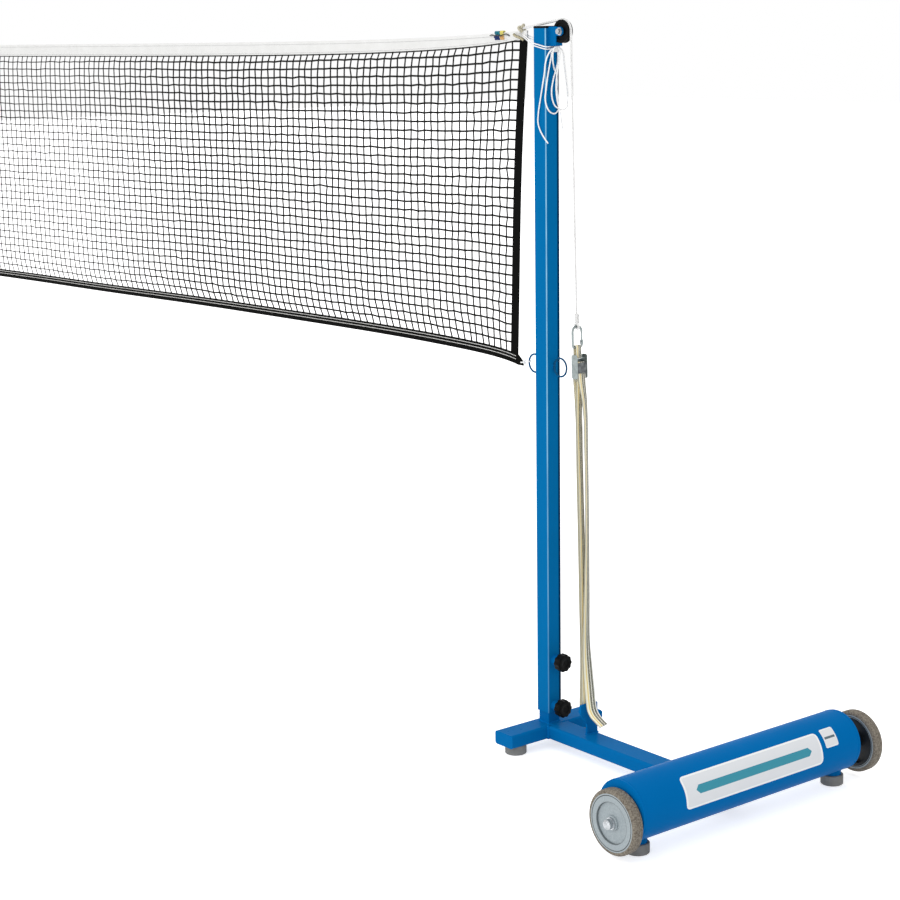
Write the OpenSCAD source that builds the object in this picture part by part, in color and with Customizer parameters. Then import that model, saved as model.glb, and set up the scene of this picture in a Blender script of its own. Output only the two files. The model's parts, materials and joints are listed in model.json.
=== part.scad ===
// Court net on two free-standing posts.
// Each post stands on a welded base with a ballast drum and two transport wheels.
// X runs along the net, Y across it and Z up. The origin is on the floor under the middle of the net.
// One post is drawn with its net side at -X and its drum at +X; the other is the same post turned half round.

/* [Posts] */
// Distance between the axes of the two posts
net_span = 6100; // [3000:50:6400]
// Height of the top of the post tube above the floor
post_h = 1550; // [1400:10:1650]
// Outer width of the square post tube
post_w = 38; // [34:1:44]
// Wall of the post tube
post_wall = 2.5; // [1.5:0.5:3]
// Outer corner radius of the post tube
post_corner = 3; // [2:0.5:5]
// Height of the post tube's lower end above the floor
post_foot_z = 76; // [60:1:85]
// Clearance between the stub and the inside of the post tube
stub_gap = 0.4; // [0.2:0.1:0.8]
// Wall of the stub that carries the post
stub_wall = 3; // [2:0.5:4]
// Height of the stub's top above the floor
stub_top = 330; // [260:10:500]
// Thickness of the cap's plate on the post
cap_t = 1.5; // [1:0.5:2]
// Depth of the cap's plug inside the post
cap_plug = 18; // [10:1:30]

/* [Base] */
// Width of the flat tube of the base
beam_w = 58; // [50:1:70]
// Height of the flat tube of the base
beam_h = 30; // [25:1:40]
// Wall of the flat tube
beam_wall = 2.5; // [2:0.5:4]
// Outer corner radius of the flat tube
beam_corner = 6; // [2:0.5:8]
// Length of the cross foot under the post
cross_len = 264; // [240:2:400]
// Diameter of the rubber feet
foot_d = 47; // [40:1:55]
// Height of the rubber feet
foot_h = 21.5; // [15:0.5:30]
// Distance of the cross foot's rubber feet from its middle
foot_reach = 98; // [80:1:105]
// Diameter of the steel bosses between drum and rubber feet
boss_d = 37; // [30:1:44]
// Distance of the drum's rubber feet from the beam
drum_foot_reach = 250; // [200:5:265]
// Diameter of the drain holes
drain_d = 8; // [5:1:10]

/* [Ballast drum] */
// Outer diameter of the drum
drum_d = 125; // [115:1:135]
// Wall of the drum
drum_wall = 3; // [2:0.5:5]
// Thickness of the drum's end plates
plate_t = 5; // [3:0.5:8]
// Distance of the drum's axis from the post's axis
drum_x = 570; // [480:5:700]
// Height of the drum's axis above the floor
drum_z = 93; // [88:1:105]
// Distance of the drum's front end from the middle of the base
drum_front = 322; // [310:1:380]
// Distance of the drum's back end from the middle of the base
drum_back = 293; // [290:1:380]
// Thickness of the weld seams
weld_gap = 0.05; // [0.02:0.01:0.1]

/* [Wheels] */
// Diameter of the wheels with their tyres
wheel_d = 130; // [110:1:140]
// Width of the wheels
wheel_w = 24; // [18:1:30]
// Height of the wheel axles above the floor
axle_z = 76; // [73:1:85]
// Radial thickness of the tyres
tyre_t = 8; // [5:0.5:12]
// Gap between the front wheel and the drum
front_gap = 2; // [1:0.5:30]
// Gap between the back wheel and the drum
back_gap = 46; // [2:1:60]
// Diameter of the axle bolts
axle_d = 12; // [10:1:14]
// Radial running clearance of wheels, pulleys and levers
run_gap = 0.08; // [0.03:0.01:0.1]

/* [Clamp knobs] */
// Diameter of the star knobs
knob_d = 40; // [34:1:46]
// Thickness of the star knobs
knob_t = 18; // [14:1:24]
// Height of the lower knob above the floor
knob_low_z = 90; // [88:1:120]
// Height of the upper knob above the floor
knob_high_z = 194; // [150:1:260]
// Diameter of the knobs' threaded studs
stud_d = 10; // [8:1:12]
// Length of the weld nuts on the post
nut_len = 10; // [6:1:14]

/* [Head of the post] */
// Distance of the pulley's axis from the post's face
pulley_reach = 33; // [30:1:45]
// Distance of the pulley's axis below the post's top
pulley_drop = 10; // [4:1:20]
// Diameter of the pulley's flanges
pulley_d = 47; // [40:1:50]
// Width of the pulley
pulley_w = 12; // [9:1:16]
// Diameter of the pulley's bolt
pulley_bolt_d = 6; // [6:1:10]
// Diameter of the tension rope
rope_d = 5; // [4:0.5:6]
// Thickness of the head bracket's plates
bracket_t = 2.5; // [2:0.5:4]

/* [Net rings] */
// Height of the rings' centres above the floor
ring_z = 844; // [700:1:1000]
// Mean radius of the rings
ring_r = 19.5; // [15:0.5:25]
// Diameter of the rings' wire
ring_wire = 4; // [3:0.5:6]

/* [Tension strap] */
// Distance of the strap's lug from the post's axis
lug_x = 115; // [100:1:150]
// Height of the lug's rod, which the strap turns round
lug_z = 104; // [96:1:115]
// Diameter of the lug's rod
lug_rod = 5; // [4:0.5:6]
// Thickness of the lug's plate
lug_t = 5; // [4:0.5:8]
// Width of the webbing
strap_w = 22; // [20:1:25]
// Thickness of the webbing
strap_t = 1.6; // [1.2:0.1:2.2]
// Distance of the buckle from the strap's lower turn
buckle_s = 724; // [400:2:1000]
// Diameter of the buckle's pins
pin_d = 5; // [4:0.5:5]
// Diameter of the snap hook's wire
hook_wire = 5; // [4:0.5:5]

/* [Net] */
// Height of the white head tape
tape_h = 36; // [25:1:40]
// Height of the head tape at its two ends
tape_end_h = 14; // [12:1:20]
// Thickness of the head tape
tape_t = 3.6; // [2:0.2:5]
// Drop of the head tape's top below the posts' tops at the middle of the net
tape_drop = 26.5; // [20:0.5:60]
// Rise of the head tape towards the posts
tape_rise = 20; // [10:1:22]
// Width of the side tapes
side_w = 24; // [18:1:40]
// Thickness of the side tapes
side_t = 2.4; // [1.5:0.1:4]
// Height of the bottom hem
hem_h = 23; // [18:1:40]
// Thickness of the bottom hem
hem_t = 3; // [2:0.2:4]
// Sag of the bottom hem at the middle of the net
hem_sag = 38; // [0:1:80]
// Bow of the net's side edges towards its middle
side_bow = 4; // [0:0.5:12]
// Thickness of the netting
mesh_t = 1.2; // [1:0.1:2]
// Width of the bars between the netting's windows
mesh_bar = 16; // [8:1:30]
// Gap between soft pieces and their neighbours
soft_gap = 0.3; // [0.2:0.1:0.5]
// Diameter of the white tie cord
cord_d = 3.5; // [3:0.5:3.5]

/* [Hidden] */
$fn = 64;
eps = 0.01;

face = post_w / 2;
stub_w = post_w - 2 * post_wall - 2 * stub_gap;
beam_z = foot_h;
beam_top = beam_z + beam_h;

// The drum, with its inside and what hangs on its ends.
drum_r = drum_d / 2;
drum_in_r = drum_r - drum_wall;
cope_x = drum_x - 25;
core_gap = 10;
nut_r = 11;
nut_t = 8;
drum_foot_y = drum_foot_reach + beam_w / 2;

// The wheels are drawn about their own axis, with the outer face at +Z.
rim_r = wheel_d / 2 - tyre_t;
hub_r = 15;
web_t = 6;
web_inset = 4;
web_r = rim_r - 16;
rim_wall = 11;
shoulder = 6;
head_r = 10;
head_t = 14;
dome_r = 12;
washer_r = 12;
washer_t = 3;

// The pulley carries the rope with its centre line at groove_r.
rope_r = rope_d / 2;
pulley_x = face + pulley_reach;
pulley_z = post_h - pulley_drop;
pulley_r = pulley_d / 2;
groove_r = pulley_r + 0.75;
cheek_in = pulley_w / 2 + 0.5;
cheek_out = cheek_in + bracket_t;
cheek_x = face + 21;
cheek_z = post_h - 39;
tab_r = 9;

// The strap, buckle, hook and rope hang on one leaning line, tangent to the pulley's groove.
// Distances along it are counted from the strap's lower turn.
lean_dx = lug_x - pulley_x;
lean_dz = pulley_z - lug_z;
lean_len = sqrt(lean_dx * lean_dx + lean_dz * lean_dz);
lean = atan(lean_dx / lean_dz) - asin(groove_r / lean_len);
line_len = sqrt(lean_len * lean_len - groove_r * groove_r);

pin_r = pin_d / 2;
eye_in = pin_r + soft_gap;
eye_mid = eye_in + strap_t / 2;
eye_out = eye_in + strap_t;
strand_x = lug_rod / 2 + 0.4 + strap_t / 2;
taut_x = 2;
plate_in = strap_w / 2 + 2;
plate_w = 18;
buckle_t = 1.5;
buckle_h = 51;
low_pin = [1, 6];
top_pin = [0, 46];
pass_x = low_pin[0] + eye_out + 0.4 + strap_t / 2;
cam = [5, 29];
cam_r = 4.5;
turn_r = cam_r + soft_gap + strap_t / 2;
back_x = cam[0] - turn_r - strap_t / 2 - soft_gap;
pad_x = cam[0] + turn_r + strap_t / 2 + 0.4;
pad_t = 2.5;
pad_u = [12, 34];
arm_gap = 0.3;
arm_t = 1.2;
eye_w = 16;
hook_s = buckle_s + top_pin[1] + 20;
hook_r = hook_wire / 2;
hook_half = 12.5;
hook_bend = 4;
hook_top = 44;
gate_r = 2;
gate_s = 12;
rope_start = [-face - 59, post_h - 3.3];
rope_eye = rope_r + hook_r + 0.5;
rope_knot = 20;

// The net's outline, in distances from the middle of the net.
tape_half = net_span / 2 - face - 39;
hem_half = net_span / 2 - face - 77;
hem_end = hem_half + 17;
net_top = post_h - tape_drop;
hem_low = ring_z - 29 + (38 - hem_sag);
hem_dip = 16;
edge_steps = 24;
side_steps = 8;
window_cols = 12;
window_rows = 3;
window_steps = 4;
knot_x = net_span / 2 - face - 59;
grommet_r = 3.2;
grommet_drop = 6.6;
tie_r = 1.5;
tie_z = ring_z + 2;
tie_bend = ring_wire / 2 + tie_r + 0.2;
tie_hole = 3;

function tape_top(x) = net_top + tape_rise * exp(-max(0, tape_half - abs(x)) / 330);
function tape_low(x) = tape_top(x) - tape_h
    + (tape_h - tape_end_h) * exp(-max(0, tape_half - abs(x)) / 60);
function hem_bottom(x) = hem_low + hem_sag * sin(90 * pow(min(1, abs(x) / hem_half), 1.2))
    - hem_dip * exp(-max(0, hem_half - abs(x)) / 70);
function hem_top(x) = hem_bottom(x) + hem_h;

// How far out the net's side edge is, from 0 at the hem to 1 at the head tape.
function side_at(t) = hem_half + (tape_half - hem_half) * t - side_bow * sin(180 * t);
function side_x(z) =
    let (low = hem_top(hem_half), t = (z - low) / (tape_low(tape_half) - low))
    side_at(min(1, max(0, t)));

// Points along a side edge from one height to another, moved in from the net's outline.
function side_line(from, to, inset) = [for (i = [0:side_steps])
    let (z = from + (to - from) * i / side_steps) [side_x(z) - inset, z]];

// Steps along the net that lie close together at its ends.
function steps(half) = [for (i = [-edge_steps:edge_steps]) half * sin(90 * i / edge_steps)];
function backwards(list) = [for (i = [len(list) - 1:-1:0]) list[i]];

// The tie cord: its route round the post, and the two cords of the bow.
cord_r = cord_d / 2;
lash_c = face - post_corner;
lash_bend = post_corner + soft_gap + cord_r;
lash_x = face + soft_gap + cord_r;
lash_slope = 0.2;
lash_pitch = cord_d + 0.4;
lash_z = cheek_z - soft_gap - cord_r + lash_slope * lash_x - lash_pitch;
lash_start = [-face - 47, -(tape_t / 2 + soft_gap + cord_r)];
knot_r = 3.6;
knot_at = [lash_x + cord_r + 0.2 + knot_r, 2, cheek_z - 7.5];
knot_half = 10;

// Routes of the bow's cords: out of the knot, round one loop, over the knot and down one tail.
// The first number is the distance from the post's face and the last is the height below the knot.
bow_cord_route = [
    [7.6, -9, -3.8], [7, -9, -14], [4, -10, -27], [2.3, -15, -54], [2.3, -20, -82], [2.3, -22, -99],
    [2.3, -18, -115], [2.3, -8, -127], [2.3, 4, -130], [2.3, 13, -124], [2.3, 16, -111], [2.3, 13, -95],
    [2.3, 10, -81], [2.3, 11, -64], [2.3, 6.5, -45], [2.5, 3, -39.5], [5, -1.5, -32],
    [8.5, -6, -24.5], [15, -12, -11], [17.2, -13, -3], [17.4, -9, 4], [17.4, -2, 5.5], [17.2, 4, 2],
    [16.8, 6, -6], [15, 5, -22], [12.5, 3, -42], [10.6, 1, -66], [10.4, 2, -93], [11, 6, -112],
    [10, 13, -128], [5, 21, -148], [2.5, 28, -168]];
tail_cord_route = [
    [7.6, 8, -3.8], [7.4, 9, -13], [6.8, 9, -24], [6.4, 6, -36], [6.4, 1, -48], [6.4, -4, -63],
    [6.4, -8, -82], [6.4, -6, -101], [6.4, 1, -114], [6.4, 12, -120], [6.4, 24, -123], [6.4, 34, -118],
    [6.4, 37, -105], [6.4, 35, -74], [6.6, 30, -44], [8.5, 25, -23], [12, 20, -8], [13, 13, 1],
    [13.2, 3, 3.5], [13, -8, 2], [11.8, -16, -3], [8.8, -20.6, -12], [4.6, -22.4, -25], [0.6, -22, -45],
    [-6, -21.3, -70], [-13.5, -21.2, -100], [-20.5, -21.2, -132], [-21.5, -21.2, -148],
    [-14, -21.2, -165], [0, -21.3, -181], [10, -21.6, -190]];

right = 1;
left = -1;

// ---- helpers ----

// Puts a post's pieces at their end of the net.
module at(side) {
    translate([side * net_span / 2, 0, 0]) rotate([0, 0, side < 0 ? 180 : 0]) children();
}

module both() {
    for (side = [right, left]) at(side) children();
}

// Follows the leaning line of strap and rope: Z runs up it from the strap's lower turn.
module on_line() {
    translate([lug_x, 0, lug_z]) rotate([0, -lean, 0]) children();
}

module box(low, high) {
    translate(low) cube(high - low);
}

// Extrudes a flat (X, Z) shape from y0 to y1.
module along_y(y0, y1) {
    translate([0, y1, 0]) rotate([90, 0, 0]) linear_extrude(y1 - y0) children();
}

// Extrudes a flat (Y, Z) shape from x0 to x1.
module along_x(x0, x1) {
    translate([x0, 0, 0]) rotate([90, 0, 90]) linear_extrude(x1 - x0) children();
}

module disc(at_point, r) {
    translate(at_point) circle(r);
}

module rounded_rect(low, high, r) {
    translate([low[0] + r, low[1]]) square([high[0] - low[0] - 2 * r, high[1] - low[1]]);
    translate([low[0], low[1] + r]) square([high[0] - low[0], high[1] - low[1] - 2 * r]);
    for (x = [low[0] + r, high[0] - r], y = [low[1] + r, high[1] - r]) disc([x, y], r);
}

// A flat ring's outline: two round ends of radius r, their centres a given length apart along Y.
module stadium(length, r) {
    translate([-r, 0]) square([2 * r, length]);
    for (y = [0, length]) disc([0, y], r);
}

module rounded_square(w, r) {
    rounded_rect([-w / 2, -w / 2], [w / 2, w / 2], r);
}

// A straight round bar from p to q.
module rod(p, q, r) {
    v = q - p;
    translate(p) rotate([0, acos(v[2] / norm(v)), atan2(v[1], v[0])]) cylinder(h = norm(v), r = r);
}

// A bent round bar in the XY plane: an arc of radius bend about c, from angle a to angle b.
module bend(c, bend_r, a, b, r) {
    translate(c) rotate([0, 0, a]) rotate_extrude(angle = b - a) disc([bend_r, 0], r);
}

function unit(v) = v / norm(v);
function tangent(p, i) = unit(p[min(i + 1, len(p) - 1)] - p[max(i - 1, 0)]);

// One ring of a tube, square to its route; "up" fixes where the ring starts.
function ring(p, i, r, sides, up) =
    let (t = tangent(p, i), u = unit(up - (up * t) * t), w = cross(t, u))
    [for (k = [0:sides - 1]) p[i] + r * (cos(360 * k / sides) * u + sin(360 * k / sides) * w)];

// A soft round cord along the points p.
module cord(p, r, sides, up) {
    n = len(p);
    skin = [for (i = [0:n - 2], k = [0:sides - 1])
        let (a = i * sides + k, b = i * sides + (k + 1) % sides)
        each [[a, b + sides, b], [a, a + sides, b + sides]]];
    first = [for (k = [0:sides - 1]) k];
    last = [for (k = [sides - 1:-1:0]) (n - 1) * sides + k];
    polyhedron([for (i = [0:n - 1]) each ring(p, i, r, sides, up)], concat([first, last], skin));
}

// A flat strip of webbing along the points p in the XZ plane.
function strip_side(p, t, sign) =
    [for (i = [0:len(p) - 1]) let (d = tangent(p, i)) p[i] + sign * t / 2 * [-d[1], d[0]]];

module strip(p, t, w) {
    along_y(-w / 2, w / 2) polygon(concat(strip_side(p, t, 1), backwards(strip_side(p, t, -1))));
}

function arc_points(c, r, a, b, n) =
    [for (i = [0:n]) c + r * [cos(a + (b - a) * i / n), sin(a + (b - a) * i / n)]];

// ---- base ----

module flat_tube_section(inset) {
    rounded_rect([-beam_w / 2 + inset, beam_z + inset], [beam_w / 2 - inset, beam_top - inset],
        max(0.5, beam_corner - inset));
}

module cross_foot(side) {
    half = cross_len / 2;
    color("#0a66a6") at(side) difference() {
        along_y(-half, half) flat_tube_section(0);
        along_y(-half + beam_wall, half - beam_wall) flat_tube_section(beam_wall);
        translate([0, 0, beam_z - 1]) cylinder(h = beam_wall + 2, d = drain_d);
    }
}

module base_beam(side) {
    start = beam_w / 2 + weld_gap;
    color("#0a66a6") at(side) difference() {
        along_x(start, cope_x) flat_tube_section(0);
        along_x(start + beam_wall, cope_x - 40) flat_tube_section(beam_wall);
        along_y(-beam_w, beam_w) disc([drum_x, drum_z], drum_r + weld_gap);
        translate([cope_x / 2, 0, beam_z - 1]) cylinder(h = beam_wall + 2, d = drain_d);
    }
}

module ballast_drum(side) {
    color("#0a66a6") at(side) along_y(-drum_front + plate_t, drum_back - plate_t) difference() {
        disc([drum_x, drum_z], drum_r);
        disc([drum_x, drum_z], drum_in_r);
    }
}

module drum_end_plates() {
    color("#0a66a6") both() for (y0 = [-drum_front, drum_back - plate_t])
        along_y(y0, y0 + plate_t) difference() {
            disc([drum_x, drum_z], drum_r);
            disc([drum_x, axle_z], axle_d / 2 + run_gap);
        }
}

module ballast_cores() {
    room = plate_t + core_gap;
    color("#8f8d88") both() along_y(-drum_front + room, drum_back - room)
        disc([drum_x, drum_z], drum_in_r - soft_gap);
}

module post_stubs() {
    color("#0a66a6") both() translate([0, 0, beam_top]) linear_extrude(stub_top - beam_top)
        difference() {
            rounded_square(stub_w, 1.5);
            rounded_square(stub_w - 2 * stub_wall, 0.5);
        }
}

// A plate on the beam, narrow at its neck, with a rod behind its head that the strap turns round.
module strap_lugs() {
    plate_x = lug_x + strand_x + strap_t / 2 + 1;
    head_y = strap_w / 2 + 9;
    neck_y = 2;
    far_y = beam_w / 2 - 1;
    head_top = lug_z + 17;
    head_low = lug_z - 4;
    shoulder_z = lug_z - 29;
    corner = 2;
    ear_y = strap_w / 2 + 1;
    ear_w = 4;
    ear_h = lug_rod + 3;
    color("#0a66a6") both() union() {
        along_x(plate_x, plate_x + lug_t) polygon([
            [-head_y, head_low], [-head_y, head_top - corner], [-head_y + corner, head_top],
            [far_y - corner, head_top], [far_y, head_top - corner], [far_y, beam_top],
            [-neck_y, beam_top], [-neck_y, shoulder_z]]);
        along_y(-ear_y - ear_w, ear_y + ear_w) disc([lug_x, lug_z], lug_rod / 2);
        for (y = [-ear_y - ear_w, ear_y])
            box([lug_x, y, lug_z - ear_h / 2], [plate_x + 1, y + ear_w, lug_z + ear_h / 2]);
    }
}

module foot_places() {
    for (y = [-foot_reach, foot_reach]) translate([0, y, 0]) children();
    for (y = [-drum_foot_y, drum_foot_y]) translate([drum_x, y, 0]) children();
}

module rubber_feet() {
    chamfer = 1.5;
    color("#8a8a88") both() foot_places() rotate_extrude() polygon([
        [0, 0], [foot_d / 2 - chamfer, 0], [foot_d / 2, chamfer], [foot_d / 2, foot_h - chamfer],
        [foot_d / 2 - chamfer, foot_h], [0, foot_h]]);
}

module foot_bosses() {
    color("#0a66a6") both() difference() {
        for (y = [-drum_foot_y, drum_foot_y]) translate([drum_x, y, foot_h])
            cylinder(h = drum_z - foot_h - drum_r / 2, d = boss_d);
        along_y(-drum_front, drum_back) disc([drum_x, drum_z], drum_r + weld_gap);
    }
}

// ---- wheels ----

// Puts a wheel's pieces on its axle, with the outer face at +Z of the child's frame.
module on_axle(side, end) {
    y = end == "front" ? -drum_front - front_gap : drum_back + back_gap;
    at(side) translate([drum_x, y, axle_z]) rotate([end == "front" ? 90 : -90, 0, 0]) children();
}

module wheel_disc(side, end) {
    web_z = wheel_w - web_inset;
    color("#9fa8ad") on_axle(side, end) rotate_extrude() difference() {
        translate([axle_d / 2 + run_gap, 0]) square([rim_r - axle_d / 2 - run_gap, wheel_w]);
        translate([hub_r, web_z]) square([web_r - hub_r, web_inset + 1]);
        translate([hub_r, -1]) square([rim_r - rim_wall - hub_r, web_z - web_t + 1]);
    }
}

module wheel_tyre(side, end) {
    color("#7d756b") on_axle(side, end) rotate_extrude() difference() {
        rounded_rect([rim_r - shoulder, 0], [wheel_d / 2, wheel_w], shoulder);
        translate([rim_r - 2 * shoulder, -1]) square([2 * shoulder + weld_gap, wheel_w + 2]);
    }
}

module wheel_bolts() {
    color("#c9ccce") for (side = [right, left], end = ["front", "back"]) {
        gap = end == "front" ? front_gap : back_gap;
        on_axle(side, end) {
            translate([0, 0, -gap - plate_t - nut_t])
                cylinder(h = gap + plate_t + nut_t + wheel_w + washer_t + 1, d = axle_d);
            translate([0, 0, wheel_w + weld_gap]) cylinder(h = washer_t, r = washer_r);
            translate([0, 0, wheel_w + washer_t]) intersection() {
                cylinder(h = head_t, r = head_r);
                translate([0, 0, head_t - dome_r]) sphere(dome_r);
            }
            translate([0, 0, -gap - plate_t - nut_t]) difference() {
                cylinder(h = nut_t, r = nut_r, $fn = 6);
                translate([0, 0, -1]) cylinder(h = nut_t + 2, r = axle_d / 2 + weld_gap);
            }
        }
    }
}

module wheel_spacers() {
    color("#c9ccce") for (side = [right, left], end = ["front", "back"]) {
        gap = end == "front" ? front_gap : back_gap;
        on_axle(side, end) translate([0, 0, -gap]) difference() {
            cylinder(h = gap - weld_gap, r = hub_r - 3);
            translate([0, 0, -1]) cylinder(h = gap + 2, r = axle_d / 2 + run_gap);
        }
    }
}

// ---- post ----

module post_tube(side) {
    color("#0668ac") at(side) difference() {
        translate([0, 0, post_foot_z]) linear_extrude(post_h - post_foot_z) difference() {
            rounded_square(post_w, post_corner);
            rounded_square(post_w - 2 * post_wall, max(0.5, post_corner - post_wall));
        }
        for (z = [knob_low_z, knob_high_z])
            along_x(face - post_wall - 1, face + 1) disc([0, z], stud_d / 2 + 0.5);
    }
}

module post_caps() {
    plug = post_w - 2 * post_wall - 0.4;
    color("#1b1b1c") both() {
        translate([0, 0, post_h]) linear_extrude(cap_t) rounded_square(post_w, post_corner);
        translate([0, 0, post_h - cap_plug]) linear_extrude(cap_plug) difference() {
            rounded_square(plug, 1);
            rounded_square(plug - 4, 1);
        }
    }
}

module cheek_outline() {
    translate([face, cheek_z]) square([cheek_x - face, post_h - cheek_z]);
    translate([cheek_x - 1, pulley_z - tab_r]) square([pulley_x - cheek_x + 1, 2 * tab_r]);
    disc([pulley_x, pulley_z], tab_r);
}

module head_bracket(side) {
    color("#0a66a6") at(side) difference() {
        union() {
            along_y(-cheek_out, -cheek_in) cheek_outline();
            along_y(cheek_in, cheek_out) cheek_outline();
            box([face, -cheek_out, cheek_z], [face + bracket_t, cheek_out, post_h]);
            box([face, -cheek_out, cheek_z], [cheek_x, cheek_out, cheek_z + bracket_t]);
            box([cheek_x - bracket_t, -cheek_out, cheek_z], [cheek_x, cheek_out, cheek_z + 7]);
        }
        along_y(-post_w, post_w) disc([pulley_x, pulley_z], pulley_bolt_d / 2 + run_gap);
    }
}

module pulley(side) {
    half = pulley_w / 2;
    color("#1b1b1c") at(side) translate([pulley_x, 0, pulley_z]) rotate([90, 0, 0])
        rotate_extrude() difference() {
            translate([pulley_bolt_d / 2 + run_gap, -half])
                square([pulley_r - pulley_bolt_d / 2 - run_gap, pulley_w]);
            disc([groove_r, 0], rope_r + 0.25);
            for (y = [-half - 1, half - 2]) translate([9, y]) square([pulley_r - 15, 3]);
        }
}

module pulley_bolts() {
    washer = 1.6;
    head = 5.5;
    bolt_head_r = pulley_bolt_d / 2 + 2.8;
    color("#c9ccce") both() translate([pulley_x, 0, pulley_z]) rotate([90, 0, 0]) {
        translate([0, 0, -cheek_out - head - washer - 2])
            cylinder(h = 2 * cheek_out + head + 2 * washer + 3, d = pulley_bolt_d);
        for (s = [0, 1]) mirror([0, 0, s]) translate([0, 0, cheek_out]) {
            cylinder(h = washer, r = bolt_head_r + 1.9);
            translate([0, 0, washer]) cylinder(h = head, r = bolt_head_r, $fn = 6);
        }
    }
}

module net_rings() {
    reach = face + ring_r + ring_wire / 2;
    color("#0a66a6") both() for (s = [-1, 1]) {
        translate([s * reach, 0, ring_z]) rotate([90, 0, 0]) rotate_extrude()
            disc([ring_r, 0], ring_wire / 2);
        rod([s * face, 0, ring_z], [s * (face + 2), 0, ring_z], ring_wire * 0.8);
    }
}

module clamp_nuts() {
    color("#0a66a6") both() for (z = [knob_low_z, knob_high_z])
        along_x(face, face + nut_len) difference() {
            disc([0, z], stud_d / 2 + 6);
            disc([0, z], stud_d / 2 + run_gap);
        }
}

module knob(side, z) {
    lobes = 10;
    lobe_r = knob_d * 0.11;
    valley = 1.6;
    neck_x = face + nut_len + 0.5;
    head_x = neck_x + 6.5;
    color("#1b1b1c") at(side) union() {
        along_x(head_x, head_x + knob_t) {
            disc([0, z], knob_d / 2 - valley);
            for (i = [0:lobes - 1]) translate([0, z]) rotate(360 / lobes * i)
                disc([knob_d / 2 - lobe_r, 0], lobe_r);
        }
        along_x(neck_x, head_x) disc([0, z], 9);
        along_x(stub_w / 2 + soft_gap, neck_x) disc([0, z], stud_d / 2);
    }
}

// ---- rope and strap ----

// The rope runs from its knot on the net's corner over the pulley and down to the hook's ring.
module tension_rope(side) {
    v = [pulley_x - rope_start[0], pulley_z - rope_start[1]];
    rise = atan2(v[1], v[0]) + asin(groove_r / norm(v));
    low = hook_s + hook_top + rope_eye;
    line = [-sin(lean), cos(lean)];
    route = concat([rope_start],
        arc_points([pulley_x, pulley_z], groove_r, 90 + rise, lean, 8),
        [for (s = [line_len - 200, line_len - 400, low + 5]) [lug_x, lug_z] + s * line]);
    color("#e9e6dc") at(side) {
        cord([for (p = route) [p[0], 0, p[1]]], rope_r, 12, [0, 1, 0]);
        translate([rope_start[0], 0, tape_top(knot_x) - 1.3]) rotate([90, 0, 90])
            bend([0, 0, 0], 5.3, 0, 360, rope_r);
        translate([rope_start[0] + 1, 0, rope_start[1] + 1.3]) sphere(4.7);
        on_line() {
            translate([0, 0, hook_s + hook_top]) rotate([90, 0, 0])
                bend([0, 0, 0], rope_eye, 0, 360, rope_r);
            translate([0, 0, low]) cylinder(h = rope_knot, r = 5.5);
        }
    }
}

module snap_hook(side) {
    straight = hook_half - hook_bend;
    ear_t = 1.2;
    ear_out = 3.2;
    low = hook_bend;
    high = hook_top - hook_half;
    color("#c9ccce") at(side) on_line() translate([0, 0, hook_s]) {
        rotate([90, 0, 90]) {
            rod([-straight, 0, 0], [straight, 0, 0], hook_r);
            bend([straight, low, 0], hook_bend, -90, 0, hook_r);
            bend([-straight, low, 0], hook_bend, 180, 270, hook_r);
            rod([-hook_half, low, 0], [-hook_half, high, 0], hook_r);
            bend([0, high, 0], hook_half, 0, 180, hook_r);
            rod([hook_half, low, 0], [hook_half, gate_s - gate_r - 0.8, 0], hook_r);
            rod([hook_half, gate_s, -ear_out], [hook_half, gate_s, ear_out], 1);
        }
        for (x = [-ear_out, ear_out - ear_t])
            box([x, hook_half - 1.8, gate_s - 7], [x + ear_t, hook_half + 1.8, gate_s + 2]);
    }
}

module hook_gate(side) {
    color("#b9bcbe") at(side) on_line() translate([0, hook_half, hook_s + gate_s]) difference() {
        union() {
            rod([-1.8, 0, 0], [1.8, 0, 0], gate_r + 0.3);
            cylinder(h = hook_top - hook_half - gate_s - 0.4, r = gate_r);
        }
        rod([-3, 0, 0], [3, 0, 0], 1 + run_gap);
    }
}

module strap_eyes() {
    color("#e8d9a8") both() on_line() translate([0, 0, buckle_s + top_pin[1]]) {
        length = hook_s - buckle_s - top_pin[1];
        along_y(-eye_w / 2, eye_w / 2) difference() {
            stadium(length, eye_out);
            stadium(length, eye_in);
        }
    }
}

module buckle_frame(side) {
    color("#c9ccce") at(side) on_line() translate([0, 0, buckle_s]) {
        for (y = [-plate_in - buckle_t, plate_in])
            along_y(y, y + buckle_t)
                rounded_rect([back_x - buckle_t, 0], [back_x - buckle_t + plate_w, buckle_h], 5);
        box([back_x - buckle_t, -plate_in, low_pin[1] + eye_out + 1.5],
            [back_x, plate_in, top_pin[1] - eye_out - 1]);
        for (p = [low_pin, top_pin]) along_y(-plate_in, plate_in) disc(p, pin_r);
        along_y(-plate_in, plate_in) disc(cam, pin_r);
    }
}

module cam_lever(side) {
    arm_y = plate_in - arm_gap - arm_t;
    color("#55585a") at(side) on_line() translate([0, 0, buckle_s]) difference() {
        union() {
            along_y(-arm_y, arm_y) disc(cam, cam_r);
            for (y = [-arm_y - arm_t, arm_y]) along_y(y, y + arm_t) {
                disc(cam, cam_r);
                rounded_rect([cam[0], pad_u[0]], [pad_x + pad_t, pad_u[1]], 2);
            }
            box([pad_x, -arm_y, pad_u[0]], [pad_x + pad_t, arm_y, pad_u[1]]);
        }
        along_y(-plate_in, plate_in) disc(cam, pin_r + run_gap);
        along_y(-strap_w / 2 - 0.5, strap_w / 2 + 0.5) difference() {
            disc(cam, pad_x - cam[0] - eps);
            disc(cam, cam_r);
        }
    }
}

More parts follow.
